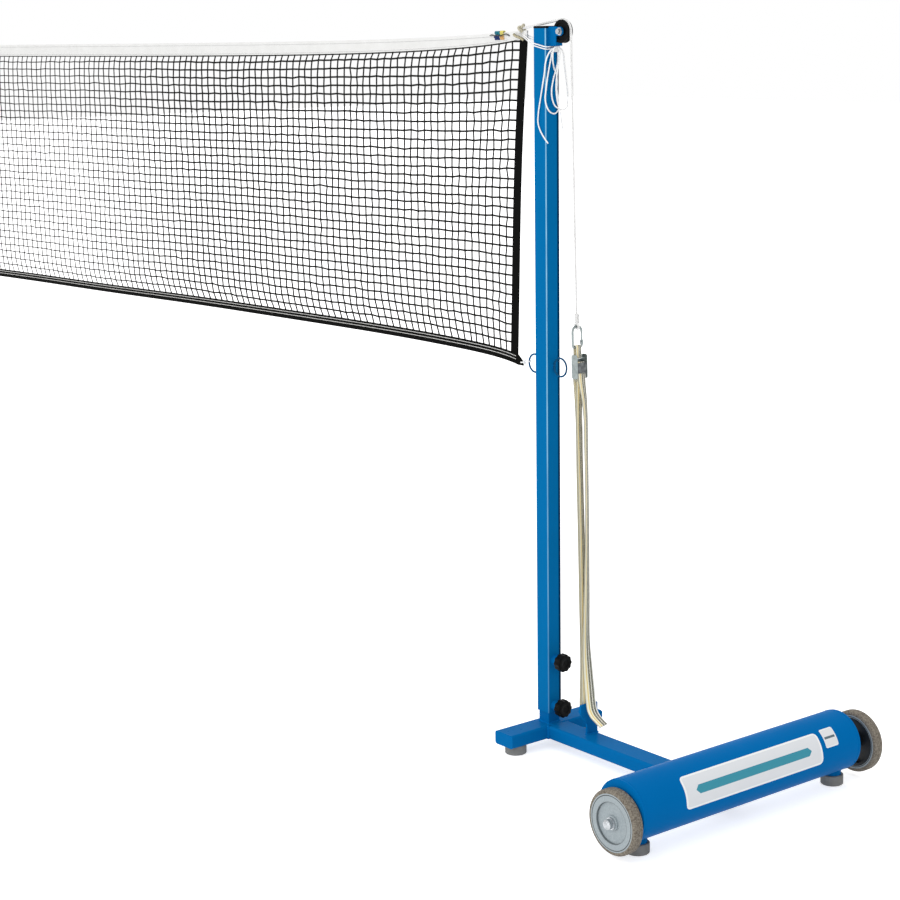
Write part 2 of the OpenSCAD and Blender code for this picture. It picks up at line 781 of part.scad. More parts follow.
// The strap runs from its sewn eye down behind the lug, up in front of it, round the buckle's cam
// and down again to its free end.
module strap_webbing(side) {
    eye = [low_pin[0], buckle_s + low_pin[1]];
    turn = [cam[0], buckle_s + cam[1]];
    route = concat(
        [[eye[0] + eye_mid, eye[1] - 12]],
        arc_points(eye, eye_mid, 0, 180, 10),
        [[-taut_x - 0.5, eye[1] - 12], [-taut_x, eye[1] - 40], [-taut_x, 60]],
        arc_points([0, 0], strand_x, 180, 360, 12),
        [[taut_x, 60], [taut_x, eye[1] - 60], [pass_x, eye[1] - 14], [pass_x, eye[1] + 1],
            [pass_x - 1.4, eye[1] + 6], [2.2, eye[1] + 10.5], [-0.2, eye[1] + 15]],
        arc_points(turn, turn_r, 180, 0, 14),
        [[turn[0] + turn_r, buckle_s - 40], [9.5, 450], [8.2, 250], [8.2, 146], [14.6, 82],
            [18, 50], [20.6, 24], [24.5, 5], [32, -5], [45.5, -13.5], [60, -21]]);
    color("#e8d9a8") at(side) on_line() strip(route, strap_t, strap_w);
}

// ---- net and ties ----

function lash_arc(sx, sy, a) = [for (i = [0:3])
    [sx * lash_c, sy * lash_c] + lash_bend * [cos(a + 30 * i), sin(a + 30 * i)]];

// A turn of cord from the net's corner round the post and back.
function lash_route(z) =
    let (v = [-lash_c, -lash_c] - lash_start,
        a = atan2(v[1], v[0]) - asin(lash_bend / norm(v)),
        t = lash_start + sqrt(v * v - lash_bend * lash_bend) * [cos(a), sin(a)],
        flat = concat([t], [[-lash_c + 3, -lash_x]], lash_arc(1, -1, -90), lash_arc(1, 1, 0),
            [[-lash_c + 3, lash_x]], [[t[0], -t[1]]]))
    concat([[lash_start[0], lash_start[1], z + 20]],
        [for (p = flat) [p[0], p[1], z - lash_slope * p[0]]],
        [[lash_start[0], -lash_start[1], z + 20]]);

module corner_lashings() {
    color("#f1efe9") both() {
        for (k = [0, 1]) cord(lash_route(lash_z + k * lash_pitch), cord_r, 8, [0, 0, 1]);
        rod(knot_at - [0, knot_half, 0], knot_at + [0, knot_half, 0], knot_r);
        for (s = [-1, 1]) translate(knot_at + [0, s * knot_half, 0]) sphere(knot_r);
    }
}

// Places a bow route, given from the post's face and the knot's height.
function bow_places(route) = [for (p = route) p + [face, 0, knot_at[2]]];

module bow_cord(side) {
    color("#f1efe9") at(side) cord(bow_places(bow_cord_route), cord_r, 8, [1, 0, 0]);
}

module tail_cord(side) {
    color("#f1efe9") at(side) cord(bow_places(tail_cord_route), cord_r, 8, [1, 0.2, 0]);
}

module lower_ties() {
    wire_x = face + 2 * ring_r + ring_wire / 2;
    hole_x = net_span / 2 - hem_end + 3;
    color("#f1efe9") both() translate([0, 0, tie_z]) {
        bend([-wire_x, 0, 0], tie_bend, -90, 90, tie_r);
        bend([-hole_x, 0, 0], tie_bend, 90, 270, tie_r);
        for (y = [-tie_bend, tie_bend]) rod([-hole_x, y, 0], [-wire_x, y, 0], tie_r);
    }
}

module head_tape() {
    xs = steps(tape_half);
    color("#f4f3ee") along_y(-tape_t / 2, tape_t / 2) difference() {
        polygon(concat([for (x = xs) [x, tape_top(x)]], [for (x = backwards(xs)) [x, tape_low(x)]]));
        for (s = [-1, 1]) disc([s * knot_x, tape_top(knot_x) - grommet_drop], grommet_r);
    }
}

module side_tapes() {
    top = tape_half - side_w;
    middle = tape_half - side_w / 2;
    low = hem_half - side_w;
    outline = concat(
        side_line(tape_low(tape_half) - soft_gap, hem_top(hem_half) + soft_gap, 0),
        side_line(hem_top(low) + soft_gap, tape_low(top) - soft_gap, side_w),
        [[middle, tape_low(middle) - soft_gap]]);
    color("#20211f") for (s = [0, 1]) mirror([s, 0, 0]) along_y(-side_t / 2, side_t / 2) polygon(outline);
}

// A place on the netting: u runs from -1 to 1 along the net and v from 0 to 1 up it.
function mesh_at(u, v) =
    let (x = u * (side_at(v) - side_w - soft_gap), low = hem_top(x) + soft_gap, top = tape_low(x) - soft_gap)
    [x, low + v * (top - low)];

// One window of the netting: the corners of its low side, then of its high side.
module mesh_window(column, row) {
    du = mesh_bar / 2 / tape_half;
    dv = mesh_bar / 2 / (net_top - tape_h - hem_low);
    u = [-1 + 2 * column / window_cols + du, -1 + 2 * (column + 1) / window_cols - du];
    v = [row / window_rows + dv, (row + 1) / window_rows - dv];
    across = [for (i = [0:window_steps]) u[0] + (u[1] - u[0]) * i / window_steps];
    polygon(concat([for (a = across) mesh_at(a, v[0])], [for (a = backwards(across)) mesh_at(a, v[1])]));
}

module net_mesh() {
    inset = side_w + soft_gap;
    top = steps(side_x(tape_low(tape_half - inset)) - inset);
    low = steps(hem_half - inset);
    side = side_line(tape_low(tape_half - inset) - soft_gap, hem_top(hem_half - inset) + soft_gap, inset);
    inner = [for (i = [1:side_steps - 1]) side[i]];
    color("#2a2b28") along_y(-mesh_t / 2, mesh_t / 2) difference() {
        polygon(concat([for (x = top) [x, tape_low(x) - soft_gap]], inner,
            [for (x = backwards(low)) [x, hem_top(x) + soft_gap]],
            [for (p = backwards(inner)) [-p[0], p[1]]]));
        for (column = [0:window_cols - 1], row = [0:window_rows - 1]) mesh_window(column, row);
    }
}

module bottom_hem() {
    xs = concat([-hem_end], steps(hem_half), [hem_end]);
    color("#20211f") along_y(-hem_t / 2, hem_t / 2) difference() {
        polygon(concat([for (x = xs) [x, hem_top(x)]],
            [for (x = backwards(xs)) [x, hem_bottom(x)]]));
        for (s = [-1, 1]) disc([s * (hem_end - 3 - tie_bend + 0.4), tie_z], tie_hole);
    }
}

cross_foot(right);  // cross_foot_right
cross_foot(left);  // cross_foot_left
base_beam(right);  // base_beam_right
base_beam(left);  // base_beam_left
ballast_drum(right);  // ballast_drum_right
ballast_drum(left);  // ballast_drum_left
drum_end_plates();
ballast_cores();
post_stubs();
strap_lugs();
rubber_feet();
foot_bosses();
wheel_bolts();
wheel_spacers();
wheel_disc(right, "front");  // wheel_disc_right_front
wheel_disc(right, "back");  // wheel_disc_right_back
wheel_disc(left, "front");  // wheel_disc_left_front
wheel_disc(left, "back");  // wheel_disc_left_back
wheel_tyre(right, "front");  // wheel_tyre_right_front
wheel_tyre(right, "back");  // wheel_tyre_right_back
wheel_tyre(left, "front");  // wheel_tyre_left_front
wheel_tyre(left, "back");  // wheel_tyre_left_back
post_tube(right);  // post_tube_right
post_tube(left);  // post_tube_left
post_caps();
head_bracket(right);  // head_bracket_right
head_bracket(left);  // head_bracket_left
pulley(right);  // pulley_right
pulley(left);  // pulley_left
pulley_bolts();
net_rings();
clamp_nuts();
knob(right, knob_high_z);  // knob_upper_right
knob(right, knob_low_z);  // knob_lower_right
knob(left, knob_high_z);  // knob_upper_left
knob(left, knob_low_z);  // knob_lower_left
tension_rope(right);  // tension_rope_right
tension_rope(left);  // tension_rope_left
snap_hook(right);  // snap_hook_right
snap_hook(left);  // snap_hook_left
hook_gate(right);  // hook_gate_right
hook_gate(left);  // hook_gate_left
buckle_frame(right);  // buckle_frame_right
buckle_frame(left);  // buckle_frame_left
cam_lever(right);  // cam_lever_right
cam_lever(left);  // cam_lever_left
strap_webbing(right);  // strap_webbing_right
strap_webbing(left);  // strap_webbing_left
strap_eyes();
corner_lashings();
bow_cord(right);  // bow_cord_right
bow_cord(left);  // bow_cord_left
tail_cord(right);  // tail_cord_right
tail_cord(left);  // tail_cord_left
lower_ties();
net_mesh();
head_tape();
side_tapes();
bottom_hem();
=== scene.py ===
# %% [markdown]
# # Court net on two free-standing posts
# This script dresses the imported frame: steel posts with ballast drums, wheels and clamp knobs, and the net
# between them. Every object is in metres. X runs along the net, Y across it and Z up, and the origin is on
# the floor under the middle of the net.

# %% Load the frame
import json
import math
from functools import partialmethod
import bpy
import numpy as np
from mathutils import Matrix, Vector


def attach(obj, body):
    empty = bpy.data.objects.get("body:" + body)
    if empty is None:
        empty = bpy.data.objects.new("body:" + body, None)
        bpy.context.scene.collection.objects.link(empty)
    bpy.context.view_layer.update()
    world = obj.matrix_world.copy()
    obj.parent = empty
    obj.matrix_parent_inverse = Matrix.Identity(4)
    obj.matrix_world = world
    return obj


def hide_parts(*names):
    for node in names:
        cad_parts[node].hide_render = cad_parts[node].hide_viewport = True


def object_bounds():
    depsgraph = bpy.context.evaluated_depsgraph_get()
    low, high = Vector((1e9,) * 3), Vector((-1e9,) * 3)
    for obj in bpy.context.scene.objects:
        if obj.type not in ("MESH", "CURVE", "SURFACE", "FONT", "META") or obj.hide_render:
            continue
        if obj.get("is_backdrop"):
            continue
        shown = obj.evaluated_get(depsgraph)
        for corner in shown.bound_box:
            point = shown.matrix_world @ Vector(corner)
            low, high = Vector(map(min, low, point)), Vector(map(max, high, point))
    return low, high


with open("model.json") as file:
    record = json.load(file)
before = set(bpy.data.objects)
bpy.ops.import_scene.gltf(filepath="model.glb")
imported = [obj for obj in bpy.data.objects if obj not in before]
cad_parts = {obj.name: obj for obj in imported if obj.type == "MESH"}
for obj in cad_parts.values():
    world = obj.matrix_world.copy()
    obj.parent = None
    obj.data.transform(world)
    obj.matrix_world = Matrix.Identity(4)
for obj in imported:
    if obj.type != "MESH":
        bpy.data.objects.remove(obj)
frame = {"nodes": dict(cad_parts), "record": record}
cad_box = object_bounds()

# %% [markdown]
# ## Camera
# The camera stands in front of one post, at the post's own height, and looks along the net. A long lens
# keeps the far half of the net large. The view is square, so the sensor's width is also its height.

# %% Camera
yaw, pitch, roll = -0.8982, 0.2026, -0.0148
camera_place = Vector((6.2662, -2.8310, 1.5422))
ahead = Vector((math.sin(yaw) * math.cos(pitch), math.cos(yaw) * math.cos(pitch), -math.sin(pitch)))
level_right = Vector((math.cos(yaw), -math.sin(yaw), 0))
level_up = level_right.cross(ahead)
right = level_right * math.cos(roll) + level_up * math.sin(roll)
up = level_up * math.cos(roll) - level_right * math.sin(roll)

lens = bpy.data.cameras.new("camera")
lens.lens, lens.sensor_width, lens.clip_end = 81.41, 36, 100
camera = bpy.data.objects.new("camera", lens)
camera.matrix_world = Matrix((right, up, -ahead)).transposed().to_4x4()
camera.location = camera_place
bpy.context.scene.collection.objects.link(camera)
bpy.context.scene.camera = camera
print("camera at", tuple(round(c, 3) for c in camera_place))

# %% [markdown]
# ## Places
# Each post has a frame of its own, in millimetres: x = 0 on the post's axis and growing away from the net,
# y across, z up. The left post is the right one turned half round, which keeps every face pointing
# outwards. Strap and rope hang on one leaning line, which has its own distances: across it and along it.

# %% Places
post_x, face = 3050.0, 19.0
lug_x, lug_z = 115.0, 104.0
pulley_x, pulley_z, groove_r = 52.0, 1540.0, 24.25
line_reach = math.hypot(lug_x - pulley_x, pulley_z - lug_z)
lean = math.atan((lug_x - pulley_x) / (pulley_z - lug_z)) - math.asin(groove_r / line_reach)
sides = {"right": 1, "left": -1}


def at_post(points, side):
    """Metres in the frame from millimetres at a post: the post's place is added to x, and x and y change
    sign at the left post."""
    p = np.asarray(points, float)
    return np.stack([side * (post_x + p[..., 0]), side * p[..., 1], p[..., 2]], -1) / 1000


def on_line(across, y, along):
    """A point of the leaning line, in the post's frame: across and along turned by the lean about Y."""
    across, y, along = np.broadcast_arrays(np.asarray(across, float), y, along)
    x = lug_x + across * math.cos(lean) - along * math.sin(lean)
    return np.stack([x, y, lug_z + across * math.sin(lean) + along * math.cos(lean)], -1)


# %% [markdown]
# ## Surfaces from arrays
# Every new piece is a grid of points: rows run along the piece and columns run round it. A profile carried
# along a path makes cords, tapes, webbing and weld beads alike, so one sweep function serves them all, and
# its UVs say how far along (metres) and how far round (0 to 1) each point lies.

# %% Surfaces
def unit(v):
    """Each vector divided by its length."""
    return v / np.linalg.norm(v, axis=-1, keepdims=True)


def on_grid(points, loop=False, u=None, v=None):
    """Quads between neighbouring points (i, j), (i, j+1), (i+1, j+1), (i+1, j). The last column joins the
    first, and with loop the last row joins the first too."""
    rows, cols = points.shape[:2]
    u = np.linspace(0, 1, rows + 1) if u is None else np.asarray(u, float)
    v = np.linspace(0, 1, cols + 1) if v is None else np.asarray(v, float)
    starts = np.meshgrid(np.arange(rows if loop else rows - 1), np.arange(cols), indexing="ij")
    i, j = [k.ravel() for k in starts]
    i2, j2 = (i + 1) % rows, (j + 1) % cols
    faces = np.stack([i * cols + j, i * cols + j2, i2 * cols + j2, i2 * cols + j], 1)
    uv = np.stack([np.stack([u[a], v[b]], 1) for a, b in ((i, j), (i, j + 1), (i + 1, j + 1), (i + 1, j))], 1)
    return points.reshape(-1, 3), [(faces, uv)]


def close(points, u=None, loop=False, v=None):
    """A tube of rings, with a flat lid on each end unless it is a loop."""
    flat, faces = on_grid(points, loop, u, v)
    if not loop:
        n = points.shape[1]
        ends = np.stack([np.arange(n)[::-1], len(flat) - n + np.arange(n)])
        faces = faces + [(ends, np.zeros((2, n, 2)))]
    return flat, faces


def sweep(path, section, up, loop=False, v=None):
    """Carries a closed section along a path. At each point the tangent is the mean of the two chords'
    directions, the first axis is `up` made square to it, and the second is tangent x first."""
    path = np.asarray(path, float)
    chord = unit(np.diff(np.vstack([path, path[:1]]) if loop else path, axis=0))
    if loop:
        tangent = unit(chord + np.roll(chord, 1, 0))
    else:
        tangent = unit(np.vstack([chord[:1], chord[1:] + chord[:-1], chord[-1:]]))
    first = np.broadcast_to(np.asarray(up, float), path.shape)
    first = unit(first - (first * tangent).sum(1, keepdims=True) * tangent)
    second = np.cross(tangent, first)
    section = np.asarray(section, float)
    points = path[:, None] + section[..., :1] * first[:, None] + section[..., 1:] * second[:, None]
    steps = np.linalg.norm(np.diff(np.vstack([path, path[:1]]), axis=0), axis=1)
    return close(points, np.r_[0, np.cumsum(steps)], loop, v)


def circle(r, n=12):
    """n points round a circle of radius r."""
    a = np.arange(n) * 2 * np.pi / n
    return np.stack([r * np.cos(a), r * np.sin(a)], 1)


def arc(centre, r, start, end, n):
    """Points on a flat arc, angles in degrees."""
    a = np.radians(np.linspace(start, end, n + 1))
    return np.stack([centre[0] + r * np.cos(a), centre[1] + r * np.sin(a)], 1)


def smooth(points, steps=6):
    """A cubic through each two points, in terms of the distance run. Its slope at a point is the mean of the
    neighbouring chords' slopes, the nearer chord counting more."""
    p = np.asarray(points, float)
    h = np.linalg.norm(np.diff(p, axis=0), axis=1)[:, None]
    slope = np.diff(p, axis=0) / h
    inner = (slope[:-1] * h[1:] + slope[1:] * h[:-1]) / (h[1:] + h[:-1])
    m = np.vstack([slope[:1], inner, slope[-1:]])
    t = np.linspace(0, 1, steps, endpoint=False)[None, :, None]
    a, b, ma, mb, h = p[:-1, None], p[1:, None], m[:-1, None], m[1:, None], h[:, None]
    curve = ((2 * t**3 - 3 * t**2 + 1) * a + (t**3 - 2 * t**2 + t) * h * ma
             + (3 * t**2 - 2 * t**3) * b + (t**3 - t**2) * h * mb)
    return np.vstack([curve.reshape(-1, p.shape[1]), p[-1:]])


# %% [markdown]
# ## Turning a shape into a piece
# A shape is its points and its faces. The arrays go into the mesh whole, with foreach_set. Faces are smooth
# and edges sharper than a given angle are marked sharp, so round tubes shade round and cut edges stay
# crisp. Most pieces are needed at both posts, so a second function makes them there.

# %% Pieces
def join(shapes):
    """Several shapes as one: their points in a row, and their faces' numbers moved on."""
    points, faces, count = [], [], 0
    for p, parts in shapes:
        points.append(p)
        faces += [(f + count, uv) for f, uv in parts]
        count += len(p)
    return np.vstack(points), faces


def placed(shape, side):
    """A shape in a post's frame, moved to that post."""
    return at_post(shape[0], side), shape[1]


def piece(name, shapes, material, body="frame", stands_for=(), sharp=40):
    """A mesh object from shapes in metres, with its material, that rides on a body."""
    points, parts = join(shapes)
    sizes = np.concatenate([np.full(len(f), f.shape[1]) for f, _ in parts])
    corners = np.concatenate([f.ravel() for f, _ in parts])
    mesh = bpy.data.meshes.new(name)
    mesh.vertices.add(len(points))
    mesh.vertices.foreach_set("co", points.astype(np.float32).ravel())
    mesh.loops.add(len(corners))
    mesh.loops.foreach_set("vertex_index", corners.astype(np.int32))
    mesh.polygons.add(len(sizes))
    mesh.polygons.foreach_set("loop_start", (np.cumsum(sizes) - sizes).astype(np.int32))
    mesh.polygons.foreach_set("use_smooth", np.ones(len(sizes), bool))
    layer = mesh.uv_layers.new(name="UVMap")
    layer.data.foreach_set("uv", np.concatenate([w.reshape(-1) for _, w in parts]).astype(np.float32))
    mesh.update(calc_edges=True)
    mesh.set_sharp_from_angle(angle=math.radians(sharp))
    mesh.materials.append(material)
    made = bpy.data.objects.new(name, mesh)
    bpy.context.scene.collection.objects.link(made)
    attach(made, body)
    if stands_for:
        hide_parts(*stands_for)
    print(name, len(points), "points,", int((sizes - 2).sum()), "triangles")
    return made


def pair(name, shapes, material, body="frame", stands_for=()):
    """The same piece at both posts. The shapes are in the post's frame, and {} in a name is the side."""
    for side_name, side in sides.items():
        piece(name.format(side_name), [placed(s, side) for s in shapes], material,
              body.format(side_name), [node.format(side_name) for node in stands_for])


# %% [markdown]
# ## Nodes
# One function adds a node with its settings and links, and gives back its output. Sums written with that
# output add their Math nodes themselves, so a mask reads like its formula. Colours are sRGB hex values,
# turned to linear light once, here.

# %% Node helpers
def linear(hex_colour):
    """sRGB hex to linear RGBA: c / 12.92 below 0.04045, else ((c + 0.055) / 1.055) to the power 2.4."""
    c = np.array([int(hex_colour[k:k + 2], 16) for k in (1, 3, 5)]) / 255
    c = np.where(c <= 0.04045, c / 12.92, ((c + 0.055) / 1.055) ** 2.4)
    return (*(float(x) for x in c), 1.0)


def feed(node, inputs):
    """Sets a node's sockets: an output is linked, a hex colour made linear, and a plain number written."""
    for key, value in inputs.items():
        if isinstance(value, Output):
            value.tree.links.new(value.socket, node.inputs[key])
        else:
            node.inputs[key].default_value = linear(value) if isinstance(value, str) else value


def add(tree, kind, inputs=None, out=0, stops=(), **settings):
    """Adds one shader node and gives back the output named by out, or one for each name in a tuple. stops
    are a colour ramp's places and colours."""
    made = tree.nodes.new("ShaderNode" + kind)
    for key, value in settings.items():
        setattr(made, key, value)
    if stops:
        points = made.color_ramp.elements
        while len(points) < len(stops):
            points.new(0.5)
        for point, (place, colour) in zip(points, stops):
            point.position, point.color = place, linear(colour)
    feed(made, inputs or {})
    if isinstance(out, tuple):
        return [Output(tree, made.outputs[name]) for name in out]
    return Output(tree, made.outputs[out])


class Output:
    """A node's output. Each sum on it adds the node that works it out."""

    def __init__(self, tree, socket):
        self.tree, self.socket = tree, socket

    def work(self, operation, other=0.0):
        """The Math node's result for this output and another, or a number."""
        return add(self.tree, "Math", {0: self, 1: other}, operation=operation)

    def spread(self, low, high):
        """Maps 0.3 to 0.7, where noise mostly lies, to low to high."""
        return add(self.tree, "MapRange", {0: self, 1: 0.3, 2: 0.7, 3: low, 4: high})

    def wave(self, turns):
        """0.5 + 0.5 sin(2 pi turns value): one soft ridge for each turn."""
        return (self * (2 * math.pi * turns)).work("SINE") * 0.5 + 0.5

    __add__ = partialmethod(work, "ADD")
    __sub__ = partialmethod(work, "SUBTRACT")
    __mul__ = partialmethod(work, "MULTIPLY")
    __lt__ = partialmethod(work, "LESS_THAN")
    __gt__ = partialmethod(work, "GREATER_THAN")
    __or__ = partialmethod(work, "MAXIMUM")
    __abs__ = partialmethod(work, "ABSOLUTE")


def grain(place, size_mm, detail):
    """Noise on object coordinates with features of about size_mm."""
    return add(place.tree, "TexNoise", {"Vector": place, "Scale": 1000 / size_mm, "Detail": detail})


def new_material(name, fixed):
    """A material with a Principled shader, whose constant values are set on its own sockets, and its object
    coordinates."""
    made = bpy.data.materials.new(name)
    made.use_nodes = True
    shader = made.node_tree.nodes["Principled BSDF"]
    feed(shader, fixed)
    return made, made.node_tree, shader, add(made.node_tree, "TexCoord", out="Object")


def skin(made, shader, colour, height, depth, strength, rough=None):
    """Ends a material: its colour, its roughness, and bump that lifts the surface by height times depth, in
    metres."""
    relief = add(colour.tree, "Bump", {"Height": height, "Distance": depth, "Strength": strength})
    feed(shader, {"Base Color": colour, "Normal": relief})
    if rough is not None:
        feed(shader, {"Roughness": rough})
    return made


def on_uv(tree):
    """The two UV values: metres along the piece, and the share of the way round it."""
    return add(tree, "SeparateXYZ", {0: add(tree, "TexCoord", out="UV")}, ("X", "Y"))


# %% [markdown]
# ## Painted steel
# Posts, bases and drums are powder-coated steel: paint powder baked on, a smooth skin with a slight orange
# peel a few millimetres across. It mirrors little, so the blue stays deep. A post's front corner has a thin
# pale line of painted highlight that fades towards the foot, and the corner behind it has a dark line of
# painted shade.

# %% Powder-coated steel
# The pale line is a painted highlight and the dark line is painted shade.
highlight_w, shade_w = 2.2, 7.6  # how far the pale and the dark line reach from the corner, in mm


def powder_coat(name, colour, pale, roughness, painted_corner_light=False):
    """Baked paint: two close blues mixed by large soft noise, and orange peel of 3 mm as bump. On a post, a
    pale line of painted highlight runs along the front corner and grows weaker near the foot, and a dark line
    of painted shade runs along the back corner."""
    made, tree, shader, place = new_material(name, {"IOR": 1.5, "Specular IOR Level": 0.01})
    paint = add(tree, "ValToRGB", {0: grain(place, 160, 3)}, stops=((0.35, colour), (0.65, pale)))
    if painted_corner_light:
        x, y, z = add(tree, "SeparateXYZ", {0: place}, ("X", "Y", "Z"))
        outward, backward = abs(x) - post_x / 1000, x.work("SIGN") * y
        front = outward - backward > (2 * face - highlight_w) / 1000
        back = outward + backward > (2 * face - shade_w) / 1000
        higher = add(tree, "MapRange", {0: z, 1: 0.15, 2: 0.75, 3: 0.35, 4: 1.0})
        # Painted highlight: a pale line along the front corner, weaker near the foot. Painted shade: a dark
        # line along the back corner.
        corner_highlight = front * grain(place, 60, 3).spread(0.5, 0.75) * higher
        paint = add(tree, "Mix", {0: corner_highlight, 6: paint, 7: "#a2daf4"}, 2, data_type="RGBA")
        paint = add(tree, "Mix", {0: back * 0.85, 6: paint, 7: "#02203c"}, 2, data_type="RGBA")
    return skin(made, shader, paint, grain(place, 3.0, 1), 0.00008, 0.5,
                grain(place, 12, 4).spread(roughness - 0.03, roughness + 0.05))


post_blue = powder_coat("powder_coated_steel_post", "#026ca8", "#026dab", 0.30, painted_corner_light=True)
base_blue = powder_coat("powder_coated_steel_base", "#0368a8", "#036aac", 0.30)
drum_blue = powder_coat("powder_coated_steel_drum", "#016aaf", "#016cb2", 0.36)
# The wire rings' darker blue is painted shade: the same powder coat, darkened for the thin wire in shade.
shaded_ring_blue = powder_coat("powder_coated_wire", "#134a6e", "#1a5a84", 0.40)

# %% [markdown]
# ## Bare metal
# Bolts and pulley bolts are zinc-plated steel: pale grey, with faint cloudy patches from the bath and a
# fine grain from handling. Buckle and hook are the same, gone dull, and the buckle's lever is a darker cast
# alloy.

# %% Zinc
def plated(name, dark, light, rough, grain_mm):
    """Metal: two greys mixed by cloudy noise, roughness varied by the same, fine grain as bump."""
    made, tree, shader, place = new_material(name, {"Metallic": 1.0})
    cloud = grain(place, 9, 4)
    greys = add(tree, "ValToRGB", {0: cloud}, stops=((0.3, dark), (0.7, light)))
    return skin(made, shader, greys, grain(place, grain_mm, 3), 0.00005, 0.5,
                cloud.spread(rough - 0.06, rough + 0.1))


zinc = plated("zinc_plated_steel", "#a7acb0", "#c9cccf", 0.30, 0.8)
dull_zinc = plated("galvanised_steel", "#7f8888", "#a3abaa", 0.42, 1.2)
cast_grey = plated("die_cast_zinc", "#3c3f40", "#7b7f80", 0.5, 1.8)
iron = plated("cast_iron_ballast", "#4a4744", "#625e59", 0.75, 3.0)

# %% [markdown]
# ## Plastics and rubber
# The wheel discs are moulded grey plastic, the tyres a warmer rubber band on them; knobs, cap and pulley are
# black moulded nylon with a fine spark-eroded grain; the feet are grey moulded rubber. Shade is painted near
# black into a wheel's hollow, into the seam at its tyre and onto the step of its web.

# %% Plastics and rubber
hollow_r, seam_r, step_r, line_half, web_half = 0.0518, 0.0536, 0.0410, 0.0009, 0.003


def moulded(name, colour, pale, rough, grain_mm, depth, specular=0.5, patch_mm=25, wheel=None):
    """Moulded polymer: two colours in patches of patch_mm, a fine grain as bump, and roughness that drifts a
    little. wheel is a wheel's middle: painted shade, a near black, lies where the radius from it is that of
    the seam or the step, and all over the hollow behind the web."""
    made, tree, shader, place = new_material(name, {"IOR": 1.5, "Specular IOR Level": specular})
    colours = add(tree, "ValToRGB", {0: grain(place, patch_mm, 5)}, stops=((0.35, colour), (0.65, pale)))
    if wheel:
        x, y, z = add(tree, "SeparateXYZ", {0: place}, ("X", "Y", "Z"))
        off_x, off_z = abs(x) - wheel[0], z - wheel[2]
        radius = (off_x * off_x + off_z * off_z).work("SQRT")
        # Painted shade: near black in the hollow behind the web, and in thin rings at the tyre's seam and the
        # web's step.
        painted_shade = (abs(y) < wheel[1] + web_half) * (radius < hollow_r)
        for ring, share in ((seam_r, 0.9), (step_r, 0.5)):
            painted_shade = painted_shade | (abs(radius - ring) < line_half) * share
        colours = add(tree, "Mix", {0: painted_shade, 6: colours, 7: "#191b1d"}, 2, data_type="RGBA")
    return skin(made, shader, colours, grain(place, grain_mm, 2), depth, 0.7,
                grain(place, 18, 3).spread(rough - 0.05, rough + 0.07))


def wheel_finish(end):
    """The wheels' plastic at one end of the drums. The disc's own box gives its middle."""
    box = frame["nodes"][f"wheel_disc_right_{end}"].bound_box
    middle = np.abs(np.mean([tuple(corner) for corner in box], axis=0)).tolist()
    return moulded(f"moulded_polypropylene_wheel_{end}", "#939ea3", "#a3adb1", 0.42, 0.9, 0.0001, 0.4, 3,
                   middle)


wheel_ends = {end: wheel_finish(end) for end in ("front", "back")}
black_nylon = moulded("moulded_nylon_black", "#0a0a0b", "#0e0e0f", 0.45, 0.8, 0.00005, 0.06)
black_knob = moulded("moulded_phenolic_black", "#0a0a0a", "#0f0f0f", 0.4, 0.8, 0.00005, 0.06)
foot_rubber = moulded("moulded_rubber_feet", "#7f7f7c", "#8d8d8b", 0.75, 1.2, 0.00012, 0.2)
tyre_rubber = moulded("moulded_rubber_tyre", "#625a50", "#8f887c", 0.7, 1.4, 0.0002, 0.2, 3.5)

# %% [markdown]
# ## Cord, rope and cloth
# Rope and cord are braided: strands cross in both directions round the core. On the UV map a diamond
# pattern that closes round the cord gives the braid. Tapes are woven, with threads along and across.

# %% Braids and weaves
def braided(name, dark, light, pitch_mm, strands, depth, fuzz=0.25, tracer_mm=None):
    """Two families of helical ridges; the higher of the two shows, which gives the plait's diamonds. fuzz is
    the sheen of loose fibres. A dark tracer yarn surfaces once in each tracer_mm, in one fifth of that
    length."""
    made, tree, shader, _ = new_material(name, {
        "Roughness": 0.85, "Sheen Weight": fuzz, "Sheen Roughness": 0.5, "Specular IOR Level": 0.2})
    along, round_it = on_uv(tree)
    run, turn = along * (1000 / pitch_mm), round_it * strands
    height = (run + turn).wave(1) | (run - turn).wave(1)
    colour = add(tree, "ValToRGB", {0: height}, stops=((0.35, dark), (0.85, light)))
    if tracer_mm:
        part = (along * (1000 / tracer_mm) + round_it).work("FRACT")
        fleck = (part < 0.2) * ((round_it * 3).work("FRACT") < 0.45)
        colour = add(tree, "Mix", {0: fleck, 6: colour, 7: "#22221e"}, 2, data_type="RGBA")
    return skin(made, shader, colour, height, depth, 0.8)


def woven(name, dark, light, thread_mm, depth, fuzz=0.15):
    """Plain weave on object coordinates: ridges across where threads run over, and along where they run
    under. One turn of the wave is two threads."""
    made, tree, shader, place = new_material(name, {
        "Roughness": 0.8, "Sheen Weight": fuzz, "Sheen Roughness": 0.4, "Specular IOR Level": 0.05})
    x, z = add(tree, "SeparateXYZ", {0: place}, ("X", "Z"))
    height = abs(x.wave(500 / thread_mm) - z.wave(500 / thread_mm))
    shade = height + grain(place, 30, 4).spread(-0.15, 0.15)
    colour = add(tree, "ValToRGB", {0: shade}, stops=((0.1, dark), (0.8, light)))
    return skin(made, shader, colour, height, depth, 0.7)


